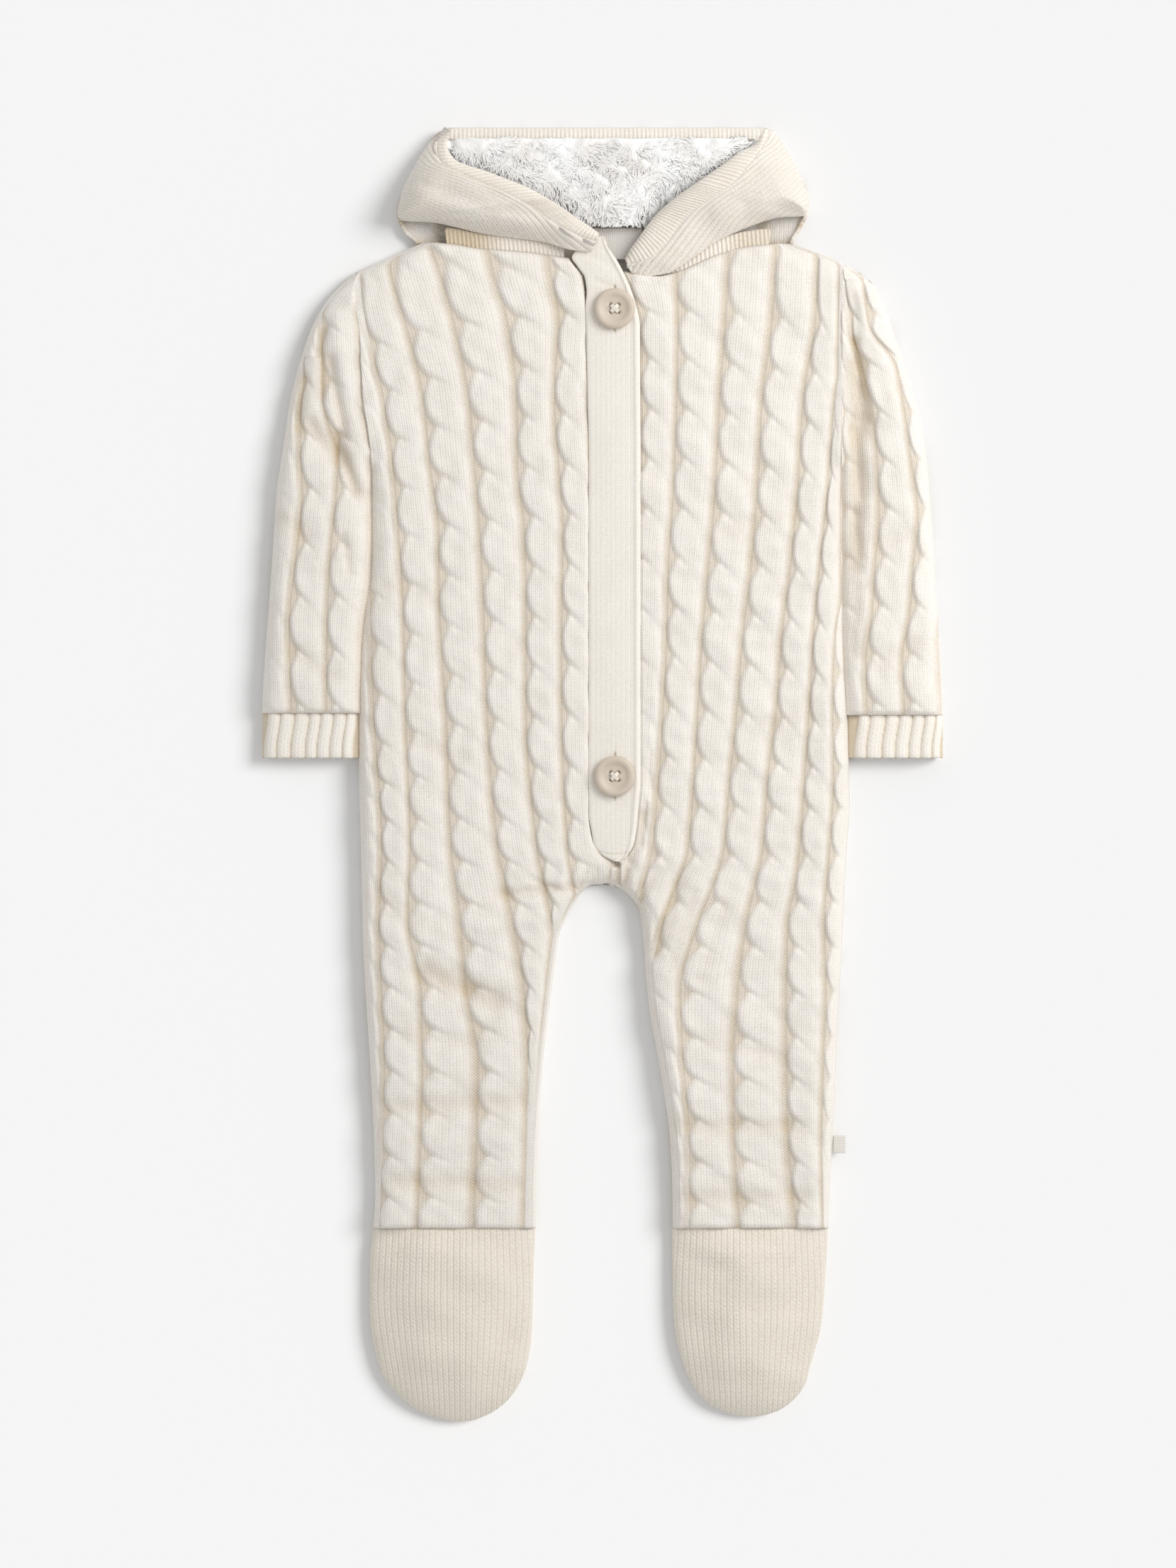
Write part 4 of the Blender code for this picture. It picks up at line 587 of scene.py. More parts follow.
pieces = {}  # node: (object, slot, flat size in metres, area share, what it lies on)


def keep(node, made, slot, flat=None, share=1.0, under=()):
    """Notes which solid a piece stands for and its slot. Its cut, area share and what it lies on are
    stored but not used.
    """
    pieces[node] = (made, slot, flat, share, under)
    print(made.name, "faces:", len(made.data.polygons))


def keep_both(make, node, slot, flat, share, under=()):
    """The same for a piece that the garment has on each side."""
    for side in SIDES:
        keep(f"{node}_{side}", make(side), slot, flat, share, [f"{n}_{side}" for n in under])


# %% [markdown]
# ## A cable-knit panel
# A panel's lines follow its cables, so every groove runs along the mesh. The panel is level at
# 11.2 mm, rounds down to its seams over a few millimetres, and gets its ropes, its folds and a
# little unevenness on top. Ropes fade out where the cloth turns down into a seam.

# %% Panel
# Where the lines lie in one cable column: close together at its steep left side and over the
# hook, further apart on the soft right side.
SPOTS = (0, 0.018, 0.04, 0.07, 0.11, 0.155, 0.205, 0.255, 0.305, 0.355, 0.41, 0.48, 0.57, 0.68,
         0.8, 0.9, 0.96)


def cable_panel(p):
    """Points, stitch map, painted shade and purl of a panel: rows down it and lines across it.

    p names the panel's tables. Its height is the level cloth rounded down to its edges, plus
    the rope's relief, the folds and the wave, and ropes fade out within 3.5 mm of an edge.
    """
    level = np.linspace(p["top"], p["bottom"], p["rows"])
    level = -np.unique(-np.concatenate([level, p.get("more", [])]))
    count_at = crossings(p["crossings"])
    tables = [column(p["cables"], i + 1) for i in range(len(p["cables"][0]) - 1)]
    if "hidden" in p:
        tables = [p["hidden"], *tables]
    number = len(tables)
    shares = [np.array(SPOTS)] * number + [np.array(SPOTS) / SPOTS[-1]]
    if "hidden" in p:
        shares[0] = np.linspace(0, 1, 6, endpoint=False)
    starts = np.cumsum([0, *map(len, shares)])
    drop = lambda x: through([r[0] for r in p["drop"]], [r[1] for r in p["drop"]], x)

    def lines(y):
        left, right = p["left"](y[:, 0]), p["right"](y[:, -1])
        edges = [left]
        squeeze = np.minimum(SQUEEZE, (right - left) / (number + 2))
        for i, table in enumerate(tables):
            least, most = left + (i + 1) * squeeze, right - (number - i) * squeeze
            edges.append(np.clip(table(y[:, starts[i + 1]]), least, most))
        edges.append(right)
        x, part, index, wide = [], [], [], []
        for i in range(number + 1):
            width = edges[i + 1] - edges[i]
            partial = edges[i] - left < (i + 0.5) * squeeze if i else True
            partial = partial | (i == number) | (i == 1 and "hidden" in p)
            whole = np.where(partial, np.maximum(width, LEAST_COLUMN), width)
            offset = 0 if i == number else whole - width
            for share in shares[i]:
                x.append(edges[i] + share * width)
                part.append((share * width + offset) / whole)
                index.append(i)
                wide.append(ease((width - 2.0) / 5))
        return np.array(x).T, np.array(part).T, np.array(index), np.array(wide).T

    level = np.repeat(level[:, None], starts[-1], 1)
    on_torso = ease((p["top"] - level) / 25) * ease((level + 30) / 60)
    at_top = 1 - ease((p["top"] - level) / 30)
    y = level
    for _ in range(3):
        x, part, index, wide = lines(y)
        y = level - drop(x) * on_torso + (p["neck"](x) - p["top"]) * at_top
    x, part, index, wide = lines(y)
    base = lowered(x, y, TOP, p["edges"]) - p["sink"](x, y)
    fade = np.clip((base - SEAM) / (TOP - SEAM), 0, 1) ** 0.7
    for line, _, width in p["edges"]:
        fade = fade * ease(distance(x, y, line) / min(3.5, 0.4 * width))
    along = count_at(level)
    cell = (0.05, abs(along[1, 0] - along[0, 0]) * 1.3)
    rope = smooth_cable(part, along, cell) * wide + 0.5 * (1 - wide)
    purl = wide * ease((part / ROPE_SHARE - 0.95) / 0.1) * ease((1 - part) / 0.03)
    wave = 0.45 * uneven(x, y, 28, p["seed"]) + 0.22 * uneven(x, y, 11, p["seed"] + 1)
    crease = folds(x, y, p["folds"])
    relief = CABLE * rope + crease + wave * ease(fade * 2)
    u = part * 8.4 * ROPE_WALE + index[None] * 12 * ROPE_WALE
    points = np.stack([x, y, base + relief * fade], -1)
    # Painted shade: darker deep between the ropes and in the troughs of folds.
    painted_shade = np.clip(1.5 - rope / 0.34, 0, 1) * ease(fade * 3) * wide + np.clip(-crease / 4, 0, 0.8)
    return points, np.stack([u, y], -1) * MM, painted_shade, purl


# %% [markdown]
# ## The two fronts
# A front is half the chest and one leg, cut in one. The left front carries the button band,
# which runs under the placket, so a strip beside the middle lies lower.

# %% Fronts
def front(side):
    right, sign, table = side == "right", SIGN[side], SIDE[side]
    outline, middle = column(table, 1), column(INNER[side], 1)
    neck_x, neck_y = zip(*NECK[side])
    edges = [
        (line_of(outline, table[0][0], table[3][0], 24), SILL, ROLL),
        (line_of(outline, table[3][0], ARMPIT), ARMHOLE, 2.5),
        (line_of(outline, ARMPIT, ANKLE), SILL, ROLL),
        (NECK[side], NECK_EDGE, 5.0),
        (line_of(middle, PLACKET_FOOT, CROTCH + 0.6, 4), NECK_EDGE - (0 if right else 2.4), 3.0),
        (line_of(middle, CROTCH, ANKLE, 90), SILL, ROLL),
        (line_of(middle, CROTCH + 0.5, CROTCH - 12, 50), SILL, ROLL),
        ([(130.0 * sign, ANKLE), (0.0, ANKLE)], NECK_EDGE - 0.8, 3.0),
    ]
    p = {
        "crossings": CROSSINGS[side], "cables": CABLES[side], "drop": DROP[side], "folds": FOLDS[side],
        "top": 258.0 if right else 254.0, "bottom": ANKLE - 0.15, "rows": 425, "edges": edges,
        "more": np.linspace(CROTCH + 1.6, CROTCH - 6, 26),  # rows where the outline is nearly level
        "neck": lambda x: through(neck_x, neck_y, x), "sink": lambda x, y: 0, "seed": 10 + sign,
        "left": outline if right else middle, "right": middle if right else outline,
    }
    if right:
        edges.append((line_of(middle, 255.0, PLACKET_FOOT), PLACKET_EDGE, 3.0))
    else:
        cover = column(PLACKET, 2)
        p["hidden"] = lambda y: cover(y) + 0.9
        under = lambda x, y: ease((cover(y) + 0.9 - x) / 0.8) * ease((y - PLACKET_FOOT + 3) / 2.4)
        p["sink"] = lambda x, y: under(x, y) * (TOP - LAP)
    points, uv, painted_shade, purl = cable_panel(p)
    if not right:
        covered = p["sink"](points[..., 0], points[..., 1]) / (TOP - LAP)
        low = np.minimum(points[..., 2], LAP)
        points[..., 2] = points[..., 2] * (1 - covered) + low * covered
        # No painted shade on the strip that the placket covers.
        painted_shade = painted_shade * (1 - covered)
    return surface(f"cable_front_{side}", points, uv, painted_shade, purl, wall=1.2)


keep_both(front, "front", "cable_knit", (0.15, 0.49), 0.80, ["back"])

# %% [markdown]
# ## The two backs
# The backs lie pressed on the table. They have the same cables, squashed flat: only the valleys
# between the ropes lift off the surface. Their sides round up to the seams.

# %% Backs
def pressed_cables(x, y, pitch_x, pitch_y, shift=0.0):
    """How far a cable-knit cloth pressed on a table lifts off it, its stitch map and purl."""
    part = np.mod((x + shift) / pitch_x, 1)
    rope = smooth_cable(part, -y / pitch_y, (1.6 / pitch_x, 1.6 / pitch_y))
    uv = np.stack([part * 8.4 * ROPE_WALE, y], -1) * MM
    return VALLEY * (1 - np.clip(rope * 1.3, 0, 1)), uv, (part > ROPE_SHARE) * 1.0


def pressed_cloth(name, x, y, lines, mirror=1, shift=0.0, shade=0.0, up=False):
    """A cable-knit cloth that lies on the table and rounds up to the seams along some lines."""
    lift = lifted(x, y, lines)
    valley, uv, purl = pressed_cables(x * mirror, y, 20.0, 22.5, shift)
    z = np.maximum(BACK * 0.94 * lift, valley * (1 - ease(lift * 3)))
    points = np.stack([x, y, np.minimum(z, BACK - 0.25)], -1)
    # Painted shade follows how far the valleys beside the pressed ropes lift; shade sets a least
    # amount.
    return surface(name, points, uv, np.maximum(valley / VALLEY, shade), purl, up=up, wall=1.9)


def back(side):
    table, sign = SIDE[side], SIGN[side]
    outline, leg = column(table, 1), column(INNER[side], 1)
    y = np.concatenate([np.linspace(NAPE, -45, 190), np.linspace(-46, -66, 42),
                        np.linspace(-67, ANKLE, 98)])
    middle = np.where(y > CROTCH - 1, sign * SEW / 2, sign * np.maximum(sign * leg(y), SEW / 2))
    even = np.linspace(0, 1, 72)
    x, level = spread(middle, outline(y), y, ease(even) * 0.25 + even * 0.75)
    lines = [line_of(outline, table[0][0], table[3][0], 24), line_of(outline, ARMPIT, ANKLE),
             line_of(leg, CROTCH - 0.4, ANKLE, 90), line_of(leg, CROTCH, CROTCH - 12, 50)]
    return pressed_cloth(f"cable_back_{side}", x, level, lines, sign, 4.0, up=sign < 0)


keep_both(back, "back", "cable_knit", (0.15, 0.49), 0.80)

# %% [markdown]
# ## Sleeves
# A sleeve is one cut, folded flat: its top carries the cables, and its underside lies on the
# table. The two meet in a rounded fold on the outside and near the body on the inside, so the
# grid goes all the way round. The cloth stays open at the armhole.

# %% Sleeves
def underside(front_points, count, lines, cables=False):
    """The grid lines under a folded piece, from its outer fold back to its inner one."""
    y = front_points[:, 0, 1]
    x, level = spread(front_points[:, -1, 0], front_points[:, 0, 0], y, crowded(count + 1)[1:])
    lift = lifted(x, level, lines)
    valley, uv, purl = 0 * x, cloth_map(x, level), 0 * x
    if cables:
        valley, uv, purl = pressed_cables(x, level, 18.0, 25.0)
    z = np.maximum(BACK * lift, valley * (1 - ease(lift * 3)) * 0.8)
    # Its third grid is painted shade that follows the pressed valleys.
    return np.stack([x, level, z], -1), uv, valley / VALLEY, purl


def round_the_back(front_grids, back_grids):
    """Joins the grids of a piece's top and of its underside line by line."""
    return [np.concatenate([a, b], 1) for a, b in zip(front_grids, back_grids)]


def sleeve(side):
    right, sign = side == "right", SIGN[side]
    shape, side_line = column(SLEEVE[side], 1), column(SIDE[side], 1)
    body = lambda y: side_line(y) + sign * (0.15 - 2.0)  # 2 mm under the body, so no gap shows
    top, bottom = (247.2 if right else 252.0), CUFF_TOP[side]
    silhouette = line_of(shape, 256.0, bottom, 70)
    inner_fold = line_of(body, ARMPIT, bottom - 4)
    edges = [
        (silhouette, SEAM, ROLL), (line_of(body, 256.0, ARMPIT), ARMHOLE - 0.3, 2.5),
        (inner_fold, SILL, ROLL), ([(-180.0, bottom), (180.0, bottom)], NECK_EDGE, 4.0),
    ]
    grids = cable_panel({
        "crossings": SLEEVE_CROSSINGS[side], "cables": SLEEVE_CABLES[side], "drop": SLEEVE_DROP,
        "folds": SLEEVE_FOLDS[side], "top": top, "bottom": bottom - 0.12, "rows": 215,
        "edges": edges, "neck": lambda x: top, "sink": lambda x, y: 0, "seed": 30 + sign,
        "left": shape if right else body, "right": body if right else shape,
    })
    if right:
        grids = [g[:, ::-1] for g in grids]
    under = underside(grids[0], 34, [silhouette, inner_fold], cables=True)
    grids = round_the_back(grids, under)
    return surface(f"cable_sleeve_{side}", *grids, ring=True, up=not right, wall=1.2)


keep_both(sleeve, "sleeve", "cable_knit", (0.10, 0.22), 0.75)

# %% [markdown]
# ## Cuffs
# One-by-one rib pulls in to soft rounded ribs about 6.5 mm apart. A profile with rounded tops
# and narrow valleys goes round each cuff, and the cuff's mouth curls in a little.

# %% Cuffs
CUFF_LINES = {
    "right": (-122.4, -127.8, -134.1, -140.4, -146.0, -153.3, -160.3, -166.6),
    "left": (124.8, 130.6, 138.3, 144.9, 151.6, 157.5, 163.1, 167.4),
}


def cuff(side):
    sign, top = SIGN[side], CUFF_TOP[side] + 0.6
    y = np.linspace(top, CUFF_END, 26)
    body_x, shape_x = column(SIDE[side], 1)(y) - sign * 0.4, column(SLEEVE[side], 1)(y)
    x, level = spread(body_x, shape_x, y, crowded(110))
    lines = [np.stack([shape_x, y], -1), np.stack([body_x, y], -1)]
    height = lowered(x, level, CUFF_HEIGHT, [(lines[0], SEAM, 9.0), (lines[1], SILL, 9.0)])
    lean = 1.1 * np.sin(level * 0.16) + 0.5 * uneven(level, 0 * level, 30, 5)
    rib_at = np.interp((x + lean) * sign, [v * sign for v in CUFF_LINES[side]], np.arange(8.0))
    gap = np.abs(np.sin(math.pi * rib_at)) ** 0.45
    fade = np.clip((height - SEAM) / (CUFF_HEIGHT - SEAM), 0, 1) ** 0.8
    pinch = 0.8 * np.exp(-(((top - level) / 2.2) ** 2))
    pinch = pinch + 0.5 * np.exp(-(((level - CUFF_END) / 1.5) ** 2))
    z = height + (1.5 * (gap - 0.6)) * fade - pinch * fade
    points = np.stack([x, level, z], -1)
    under, uv, _, purl = underside(points, 40, lines)
    ribs = 0.5 * (1 - np.abs(np.sin(math.pi * under[..., 0] / 6.5)) ** 0.6)
    under[..., 2] = np.maximum(under[..., 2], ribs)
    # Painted shade: darker in the valleys between the ribs on top, and along narrow lines every 6.5 mm
    # underneath.
    grids = round_the_back((points, cloth_map(rib_at * 2 * WALE, level), (1 - gap) * 1.2, 0 * gap),
                           (under, uv, ribs * 2, purl))
    return surface(f"rib_cuff_{side}", *grids, ring=True, up=sign > 0, wall=2.2)


keep_both(cuff, "cuff", "rib_knit", (0.105, 0.024), 1.0)

# %% [markdown]
# ## Feet
# Each foot is a closed pouch in plain stocking stitch, the heaviest knit of the suit: its
# stitches are 3 mm wide and clearly show. The grid goes round the pouch, its rows close up
# towards the toe, and the last row is welded into one point.

# %% Feet
def foot(side):
    table = FOOT[side]
    high, (last, last_left, last_right) = table[0][0] + 0.9, table[-1]
    low, mid = last - 0.8, (last_left + last_right) / 2
    y = high + (low - high) * (1 - (1 - np.linspace(0, 1, 84)) ** 1.6)
    end = np.sqrt(np.clip((y - low) / (last - low), 0, 1))
    a = np.where(y < last, mid + (last_left - mid) * end, column(table, 1)(y))
    b = np.where(y < last, mid + (last_right - mid) * end, column(table, 2)(y))
    outline = [*zip(a, y), *zip(b[::-1], y[::-1])]
    x, level = spread(a, b, y, crowded(76))
    edges = [(outline, SEAM, 25.0), ([(a[0], y[0]), (b[0], y[0])], NECK_EDGE, 5.0)]
    z = lowered(x, level, TOP - 0.3, edges)
    fade = np.clip((z - SEAM) / (TOP - SEAM), 0, 1)
    z = z + 5.0 * ease(distance(x, level, outline) / 36) * ease((y[0] - level) / 14)
    z = z + fade * (0.5 * uneven(x, level, 26, 51) + folds(x, level, FOOT_FOLDS[side]))
    points = np.stack([x, level, np.where(fade > 0, np.maximum(z, SEAM), SEAM)], -1)
    wale_x = (x - mid) * (1 + 0.05 * np.sin((level + 223) / 30))
    bend = 1 - 0.16 * ease((level + 250) / -70)
    grids = round_the_back((points, cloth_map(wale_x / bend, level), 0 * x, 0 * x),
                           underside(points, 44, [outline]))
    return surface(f"knitted_foot_{side}", *grids, ring=True, wall=2.0, weld=True)


keep_both(foot, "foot", "foot_knit", (0.16, 0.10), 0.92)

# %% [markdown]
# ## The hood
# The hood lies on its back, and its two sides roll forward over the neck. The knit of the
# sides runs along the roll, so its wales curve with it. A rib band finishes the opening, with
# its ribs square to the edge. Rows go along the opening and lines go across the roll.

# %% Hood sides and their rib band
def hood_strip(side, part):
    rows, rib_part = np.array(HOOD[side]), part == "rib"
    knots = np.arange(len(rows))
    u = np.linspace(0, len(rows) - 1, 300 if rib_part else 170)
    ox, oy, ex, ey, high, rib, low = (through(knots, rows[:, i], u) for i in range(7))
    width = np.hypot(ex - ox, ey - oy)
    seam = np.clip(rib / width, 0.1, 0.6)
    outer_line, opening = np.stack([ex, ey], -1), np.stack([ox, oy], -1)
    corner = int(len(u) * HOOD_CORNER / (len(rows) - 1)) + 1
    start, end = (0 * seam, seam + 0.3 / width) if rib_part else (seam, 0 * seam + 1)
    share = crowded(16 if rib_part else 60)
    w = start[:, None] + (end - start)[:, None] * share
    x = ox[:, None] + (ex - ox)[:, None] * w
    y = oy[:, None] + (ey - oy)[:, None] * w
    tall = np.repeat(high[:, None], len(share), 1)
    z = tall - 4.0 * (1 - quarter(distance(x, y, opening) / 5))
    fall = quarter(distance(x, y, outer_line[:corner]) / HOOD_ROLL)
    z = np.minimum(z, SILL + (tall - SILL) * fall)
    away = np.clip(distance(x, y, outer_line[corner - 1 :]) / 10, 0, 1)
    lift = 0.4 * quarter(away) + 0.6 * np.sin(math.pi / 2 * away)
    z = np.minimum(z, (low + (high - low) * lift.T).T)
    from_seam = np.abs(w - seam[:, None]) * width[:, None]
    z = z - (0.8 if rib_part else 0.5) * (1 - quarter(from_seam / 2.2))
    step = np.hypot(np.diff((ox + ex) / 2), np.diff((oy + ey) / 2))
    run = np.concatenate([[0], np.cumsum(step)])[:, None] + 0 * x
    across = w * width[:, None]
    if rib_part:
        ribs = np.sin(math.pi * run / RIB_PITCH) ** 2
        z = z + 0.45 * (ribs - 0.6) * ease(from_seam / 1.5)
        # Painted shade in the valleys between the ribs.
        painted_shade, stitch = 0.7 * (1 - ribs), cloth_map(run * 2, across)
    else:
        z[:, -1] = np.minimum(z[:, -1], low)
        wave = 0.5 * uneven(x, y, 24, 71) + folds(x, y, HOOD_FOLDS[side])
        z = z + wave * ease(from_seam / 6) * ease((1 - share) * 5)
        chains = np.cos(2 * math.pi * across / CHAIN)
        z = z + 0.28 * chains * ease((1 - share) * 8)
        # Painted shade between the chains of stitches, where the cloth dips.
        painted_shade = 0.5 * (0.5 - 0.5 * chains)
        stitch = cloth_map(across * ROPE_WALE / CHAIN, run * ROPE_COURSE / 1.7)
    z = np.maximum(z, low[:, None])
    name = f"rib_band_{side}" if rib_part else f"hood_side_{side}_knit"
    return surface(name, np.stack([x, y, z], -1), stitch, painted_shade, up=side == "left", wall=2.0)


for side in SIDES:
    keep(f"hood_rib_{side}", hood_strip(side, "rib"), "rib_knit", (0.012, 0.13), 1.0,
         [f"hood_side_{side}"])
    keep(f"hood_side_{side}", hood_strip(side, "side"), "cable_knit", (0.075, 0.12), 0.37,
         ["hood_back"])

# %% [markdown]
# The back of the hood is flat on the table. The rib band also crosses the top of the opening.

# %% Hood back and the band across the top
def hood_back():
    y = np.linspace(HOOD_TOP, HOOD_BACK[0][0], 60)
    a, b = column(HOOD_BACK, 1)(y), column(HOOD_BACK, 2)(y)
    x, level = spread(a, b, y, crowded(120))
    lines = [np.stack([a, y], -1), np.stack([b, y], -1), [(a[0], y[0]), (b[0], y[0])]]
    # Painted shade: the hood's back turns darker below y = 268 mm, towards the neck, under the rolled
    # sides.
    return pressed_cloth("hood_back_knit", x, level, lines, shade=1.4 * ease((268 - level) / 8))


def top_band():
    low, high, tall = RIB_TOP
    y = np.linspace(high, low, 14)
    corners = [zip(*sorted((row[1], row[0]) for row in HOOD[side][:3])) for side in SIDES]
    a, b = (np.interp(y, *corner) + 0.8 * sign for corner, sign in zip(corners, (-1, 1)))
    x, level = spread(a, b, y, np.linspace(0, 1, 440))
    edge = [([(-90.0, high), (90.0, high)], SILL, 5.0), ([(-90.0, low), (90.0, low)], tall - 1.2, 2.0)]
    ribs = np.sin(math.pi * x / RIB_PITCH) ** 2
    z = lowered(x, level, tall, edge) + 0.35 * (ribs - 0.6) * ease((high - level) / 1.5)
    z = np.maximum(z + 0.3 * uneven(x, level, 22, 77), SILL)
    points = np.stack([x, level, z], -1)
    # Its last mark is painted shade in the valleys between the ribs.
    return surface("rib_band_top", points, cloth_map(x * 2, level), 0.5 * (1 - ribs), wall=1.8)


keep("hood_back", hood_back(), "cable_knit", (0.21, 0.065), 0.9)
keep("hood_rib_top", top_band(), "rib_knit", (0.16, 0.010), 1.0, ["hood_back"])

# %% [markdown]
# ## The fleece lining
# Long-pile fleece is a knitted backing with soft locks of fibre that lie over in patches. The
# backing is a lumpy sheet. The pile is a few thousand tapering locks, each a bent three-sided
# spike of 22 triangles: all their rings are worked out at once as one array.

# %% Fleece backing and its pile
def pile_top(x, y):
    """Level of the fleece at a point: PILE in the middle, lower towards its two sides."""
    left, right = column(LINING, 1), column(LINING, 2)
    rows = np.linspace(LINING[0][0], LINING[-1][0], 40)
    sides = [(np.stack([e(rows), rows], -1), LINING_EDGE, 12.0) for e in (left, right)]
    z = lowered(x, y, PILE, sides)
    clumps = np.sin(x * 0.31 + 1.3 * np.sin(y * 0.23)) * np.sin(y * 0.37 + x * 0.05)
    return z - 1.2 * (0.5 + 0.5 * clumps) * ease((z - LINING_EDGE) / (PILE - LINING_EDGE))


def fleece():
    left, right = column(LINING, 1), column(LINING, 2)
    y = np.linspace(LINING[-1][0] + 0.9, LINING[0][0], 56)
    wider = 1.5 + 2.0 * ease((y - 300) / 10)
    a, b = left(y) - wider, right(y) + wider
    x, level = spread(a, b, y, np.linspace(0, 1, 150))
    z = pile_top(x, level) - 1.2 - 0.5 * uneven(x, level, 9, 81)
    return surface("fleece_backing", np.stack([x, level, z], -1), cloth_map(x, level), wall=1.6)


def locks(count):
    """Bent spikes: rings of three points along a quadratic curve, thinner towards the tip."""
    rng = np.random.default_rng(7)
    left, right = column(LINING, 1), column(LINING, 2)
    y = LINING[0][0] + 1 + (LINING[-1][0] - LINING[0][0] - 2) * rng.uniform(0, 1, 3 * count) ** 0.7
    x = rng.uniform(-74, 73, 3 * count)
    inside = (x > left(y) - 0.5) & (x < right(y) + 0.5)
    x, y = x[inside][:count], y[inside][:count]
    n = len(x)
    turn = 1.9 * uneven(x, y, 26, 83) + 0.9 * uneven(x, y, 11, 84) - 1.2 + rng.normal(0, 0.35, n)
    length = rng.uniform(4.5, 8.5, n)
    heading = np.stack([np.cos(turn), np.sin(turn), 0 * turn], -1)
    side = np.stack([-np.sin(turn), np.cos(turn), 0 * turn], -1)
    curl = rng.normal(0, 0.35, n)
    root = np.stack([x, y, pile_top(x, y) - 2.2], -1)
    t = np.array([0, 0.3, 0.6, 0.85])
    spine = root[:, None] + heading[:, None] * (length[:, None] * t)[..., None]
    spine = spine + side[:, None] * (length[:, None] * curl[:, None] * t**2)[..., None]
    rise = rng.uniform(1.0, 1.9, n)[:, None] * np.sin(math.pi * 0.62 * t)
    spine[..., 2] += rise
    radius = (rng.uniform(0.55, 1.0, n)[:, None] * (1 - t * 0.7))[..., None]
    rings = []
    for angle in (math.pi / 2, math.pi * 7 / 6, math.pi * 11 / 6):
        rings.append(spine + radius * (side[:, None] * math.cos(angle)
                                       + np.array([0, 0, 0.6]) * math.sin(angle)))
    body = np.stack(rings, 2)
    tip = root + heading * length[:, None] + side * (length * curl)[:, None]
    tip[:, 2] += rise[:, -1] * 0.92
    points = np.concatenate([body.reshape(n, 12, 3), tip[:, None]], 1)
    # The pile stays over its backing and inside the opening, and no higher than its solid.
    points[..., 1] = np.clip(points[..., 1], LINING[0][0] - 1, LINING[-1][0] + 1.8)
    px, py = points[..., 0], points[..., 1]
    points[..., 0] = np.clip(px, left(py) - 1.5, right(py) + 1.5)
    points[..., 2] = np.minimum(points[..., 2], PILE + 0.4)
    faces = []
    for ring in range(3):
        for k in range(3):
            a, b = 3 * ring + k, 3 * ring + (k + 1) % 3
            faces += [(a, b, b + 3), (a, b + 3, a + 3)]
    faces += [(9, 10, 12), (10, 11, 12), (11, 9, 12), (2, 1, 0)]
    faces = np.array(faces)[None] + 13 * np.arange(n)[:, None, None]
    mesh = bpy.data.meshes.new("fleece_pile")
    mesh.from_pydata((points.reshape(-1, 3) * MM).tolist(), [], faces.reshape(-1, 3).tolist())
    # Painted shade: each lock is darker towards its root, full at the root ring and none at the tip.
    mark = mesh.attributes.new("painted_shade", "FLOAT", "POINT")
    depth = np.concatenate([np.repeat(1 - t, 3), [0.0]])
    mark.data.foreach_set("value", np.tile(depth, n).astype(np.float32))
    mesh.shade_smooth()
    # Fibres scatter light all round, so their shading normals lean only a little off upright.
    lean = (points[:, :12].reshape(n, 4, 3, 3) - spine[:, :, None]) / radius[:, :, None]
    lean = np.concatenate([lean.reshape(n, 12, 3), np.zeros((n, 1, 3))], 1)
    upright = lean * 0.45 + heading[:, None] * 0.15 + np.array([0, 0, 1.0])
    upright /= np.linalg.norm(upright, axis=-1, keepdims=True)
    mesh.normals_split_custom_set_from_vertices(upright.reshape(-1, 3).tolist())
    return placed("fleece_pile", mesh)


keep("hood_lining", fleece(), "fleece", (0.15, 0.045), 0.62, ["hood_back"])
pile = locks(6000)
print("fleece locks:", len(pile.data.polygons) // 22)

# %% [markdown]
# ## Neck rib and tape
# A short rib stands up from the neck seam, mostly in the shadow of the hood. A strip of cotton
# tape covers the seam inside the back neck.

# %% Neck rib and tape
def neck_rib(side):
    start, end = (-77.0, -19.0) if side == "right" else (24.0, 82.0)
    x = np.linspace(start, end, 260)
    seam = through(*zip(*NECK[side]), x) - 0.8
    share = np.linspace(1, 0, 14)
    y = seam + share[:, None] * NECK_RIB
    xx = np.repeat(x[None], len(share), 0)
    ribs = np.sin(math.pi * (xx + 0.8 * share[:, None]) / RIB_PITCH) ** 2
    edge = quarter(np.minimum(share, 1 - share) / 0.15)[:, None]
    z = NECK_RIB_TOP - 1.0 * (1 - edge) + 0.5 * (ribs - 0.7) * edge
    # Painted shade: darker and warmer a little along the whole rib, in its valleys, and in the recess
    # under the hood's rolled side, fully at the rib's outer end on the right and at half strength on
    # the left.
    depth = ease((-46 - xx) / 18) if side == "right" else ease((xx - 56) / 14) * 0.5
    return surface(f"neck_rib_{side}_knit", np.stack([xx, y, z], -1), cloth_map(xx * 2, y),
                   0.1 + 0.4 * (1 - ribs) + 1.2 * depth, wall=2.0)


def tape():
    x0, x1, y0, y1, thick = TAPE
    x, y = np.meshgrid(np.linspace(x0, x1, 40), np.linspace(y1, y0, 24))
    hem = 0.25 * np.exp(-(((y1 - y - 1.2) / 0.35) ** 2))
    z = SILL + thick - hem + 0.08 * uneven(x, y, 9, 91)
    return surface("cotton_tape_strip", np.stack([x, y, z], -1), cloth_map(x, y), wall=1.2)


for side in SIDES:
    keep(f"neck_rib_{side}", neck_rib(side), "rib_knit", (0.064, 0.013), 1.0, [f"back_{side}"])
keep("neck_tape", tape(), "cotton_tape", (0.026, 0.017), 1.0, ["back_left"])

# %% [markdown]
# ## The placket
# A double band of fine rib, sewn to the right front. Its ribs run lengthwise, its right edge is
# rolled, and a vertical buttonhole shows above each button. Rows go down it, lines across.

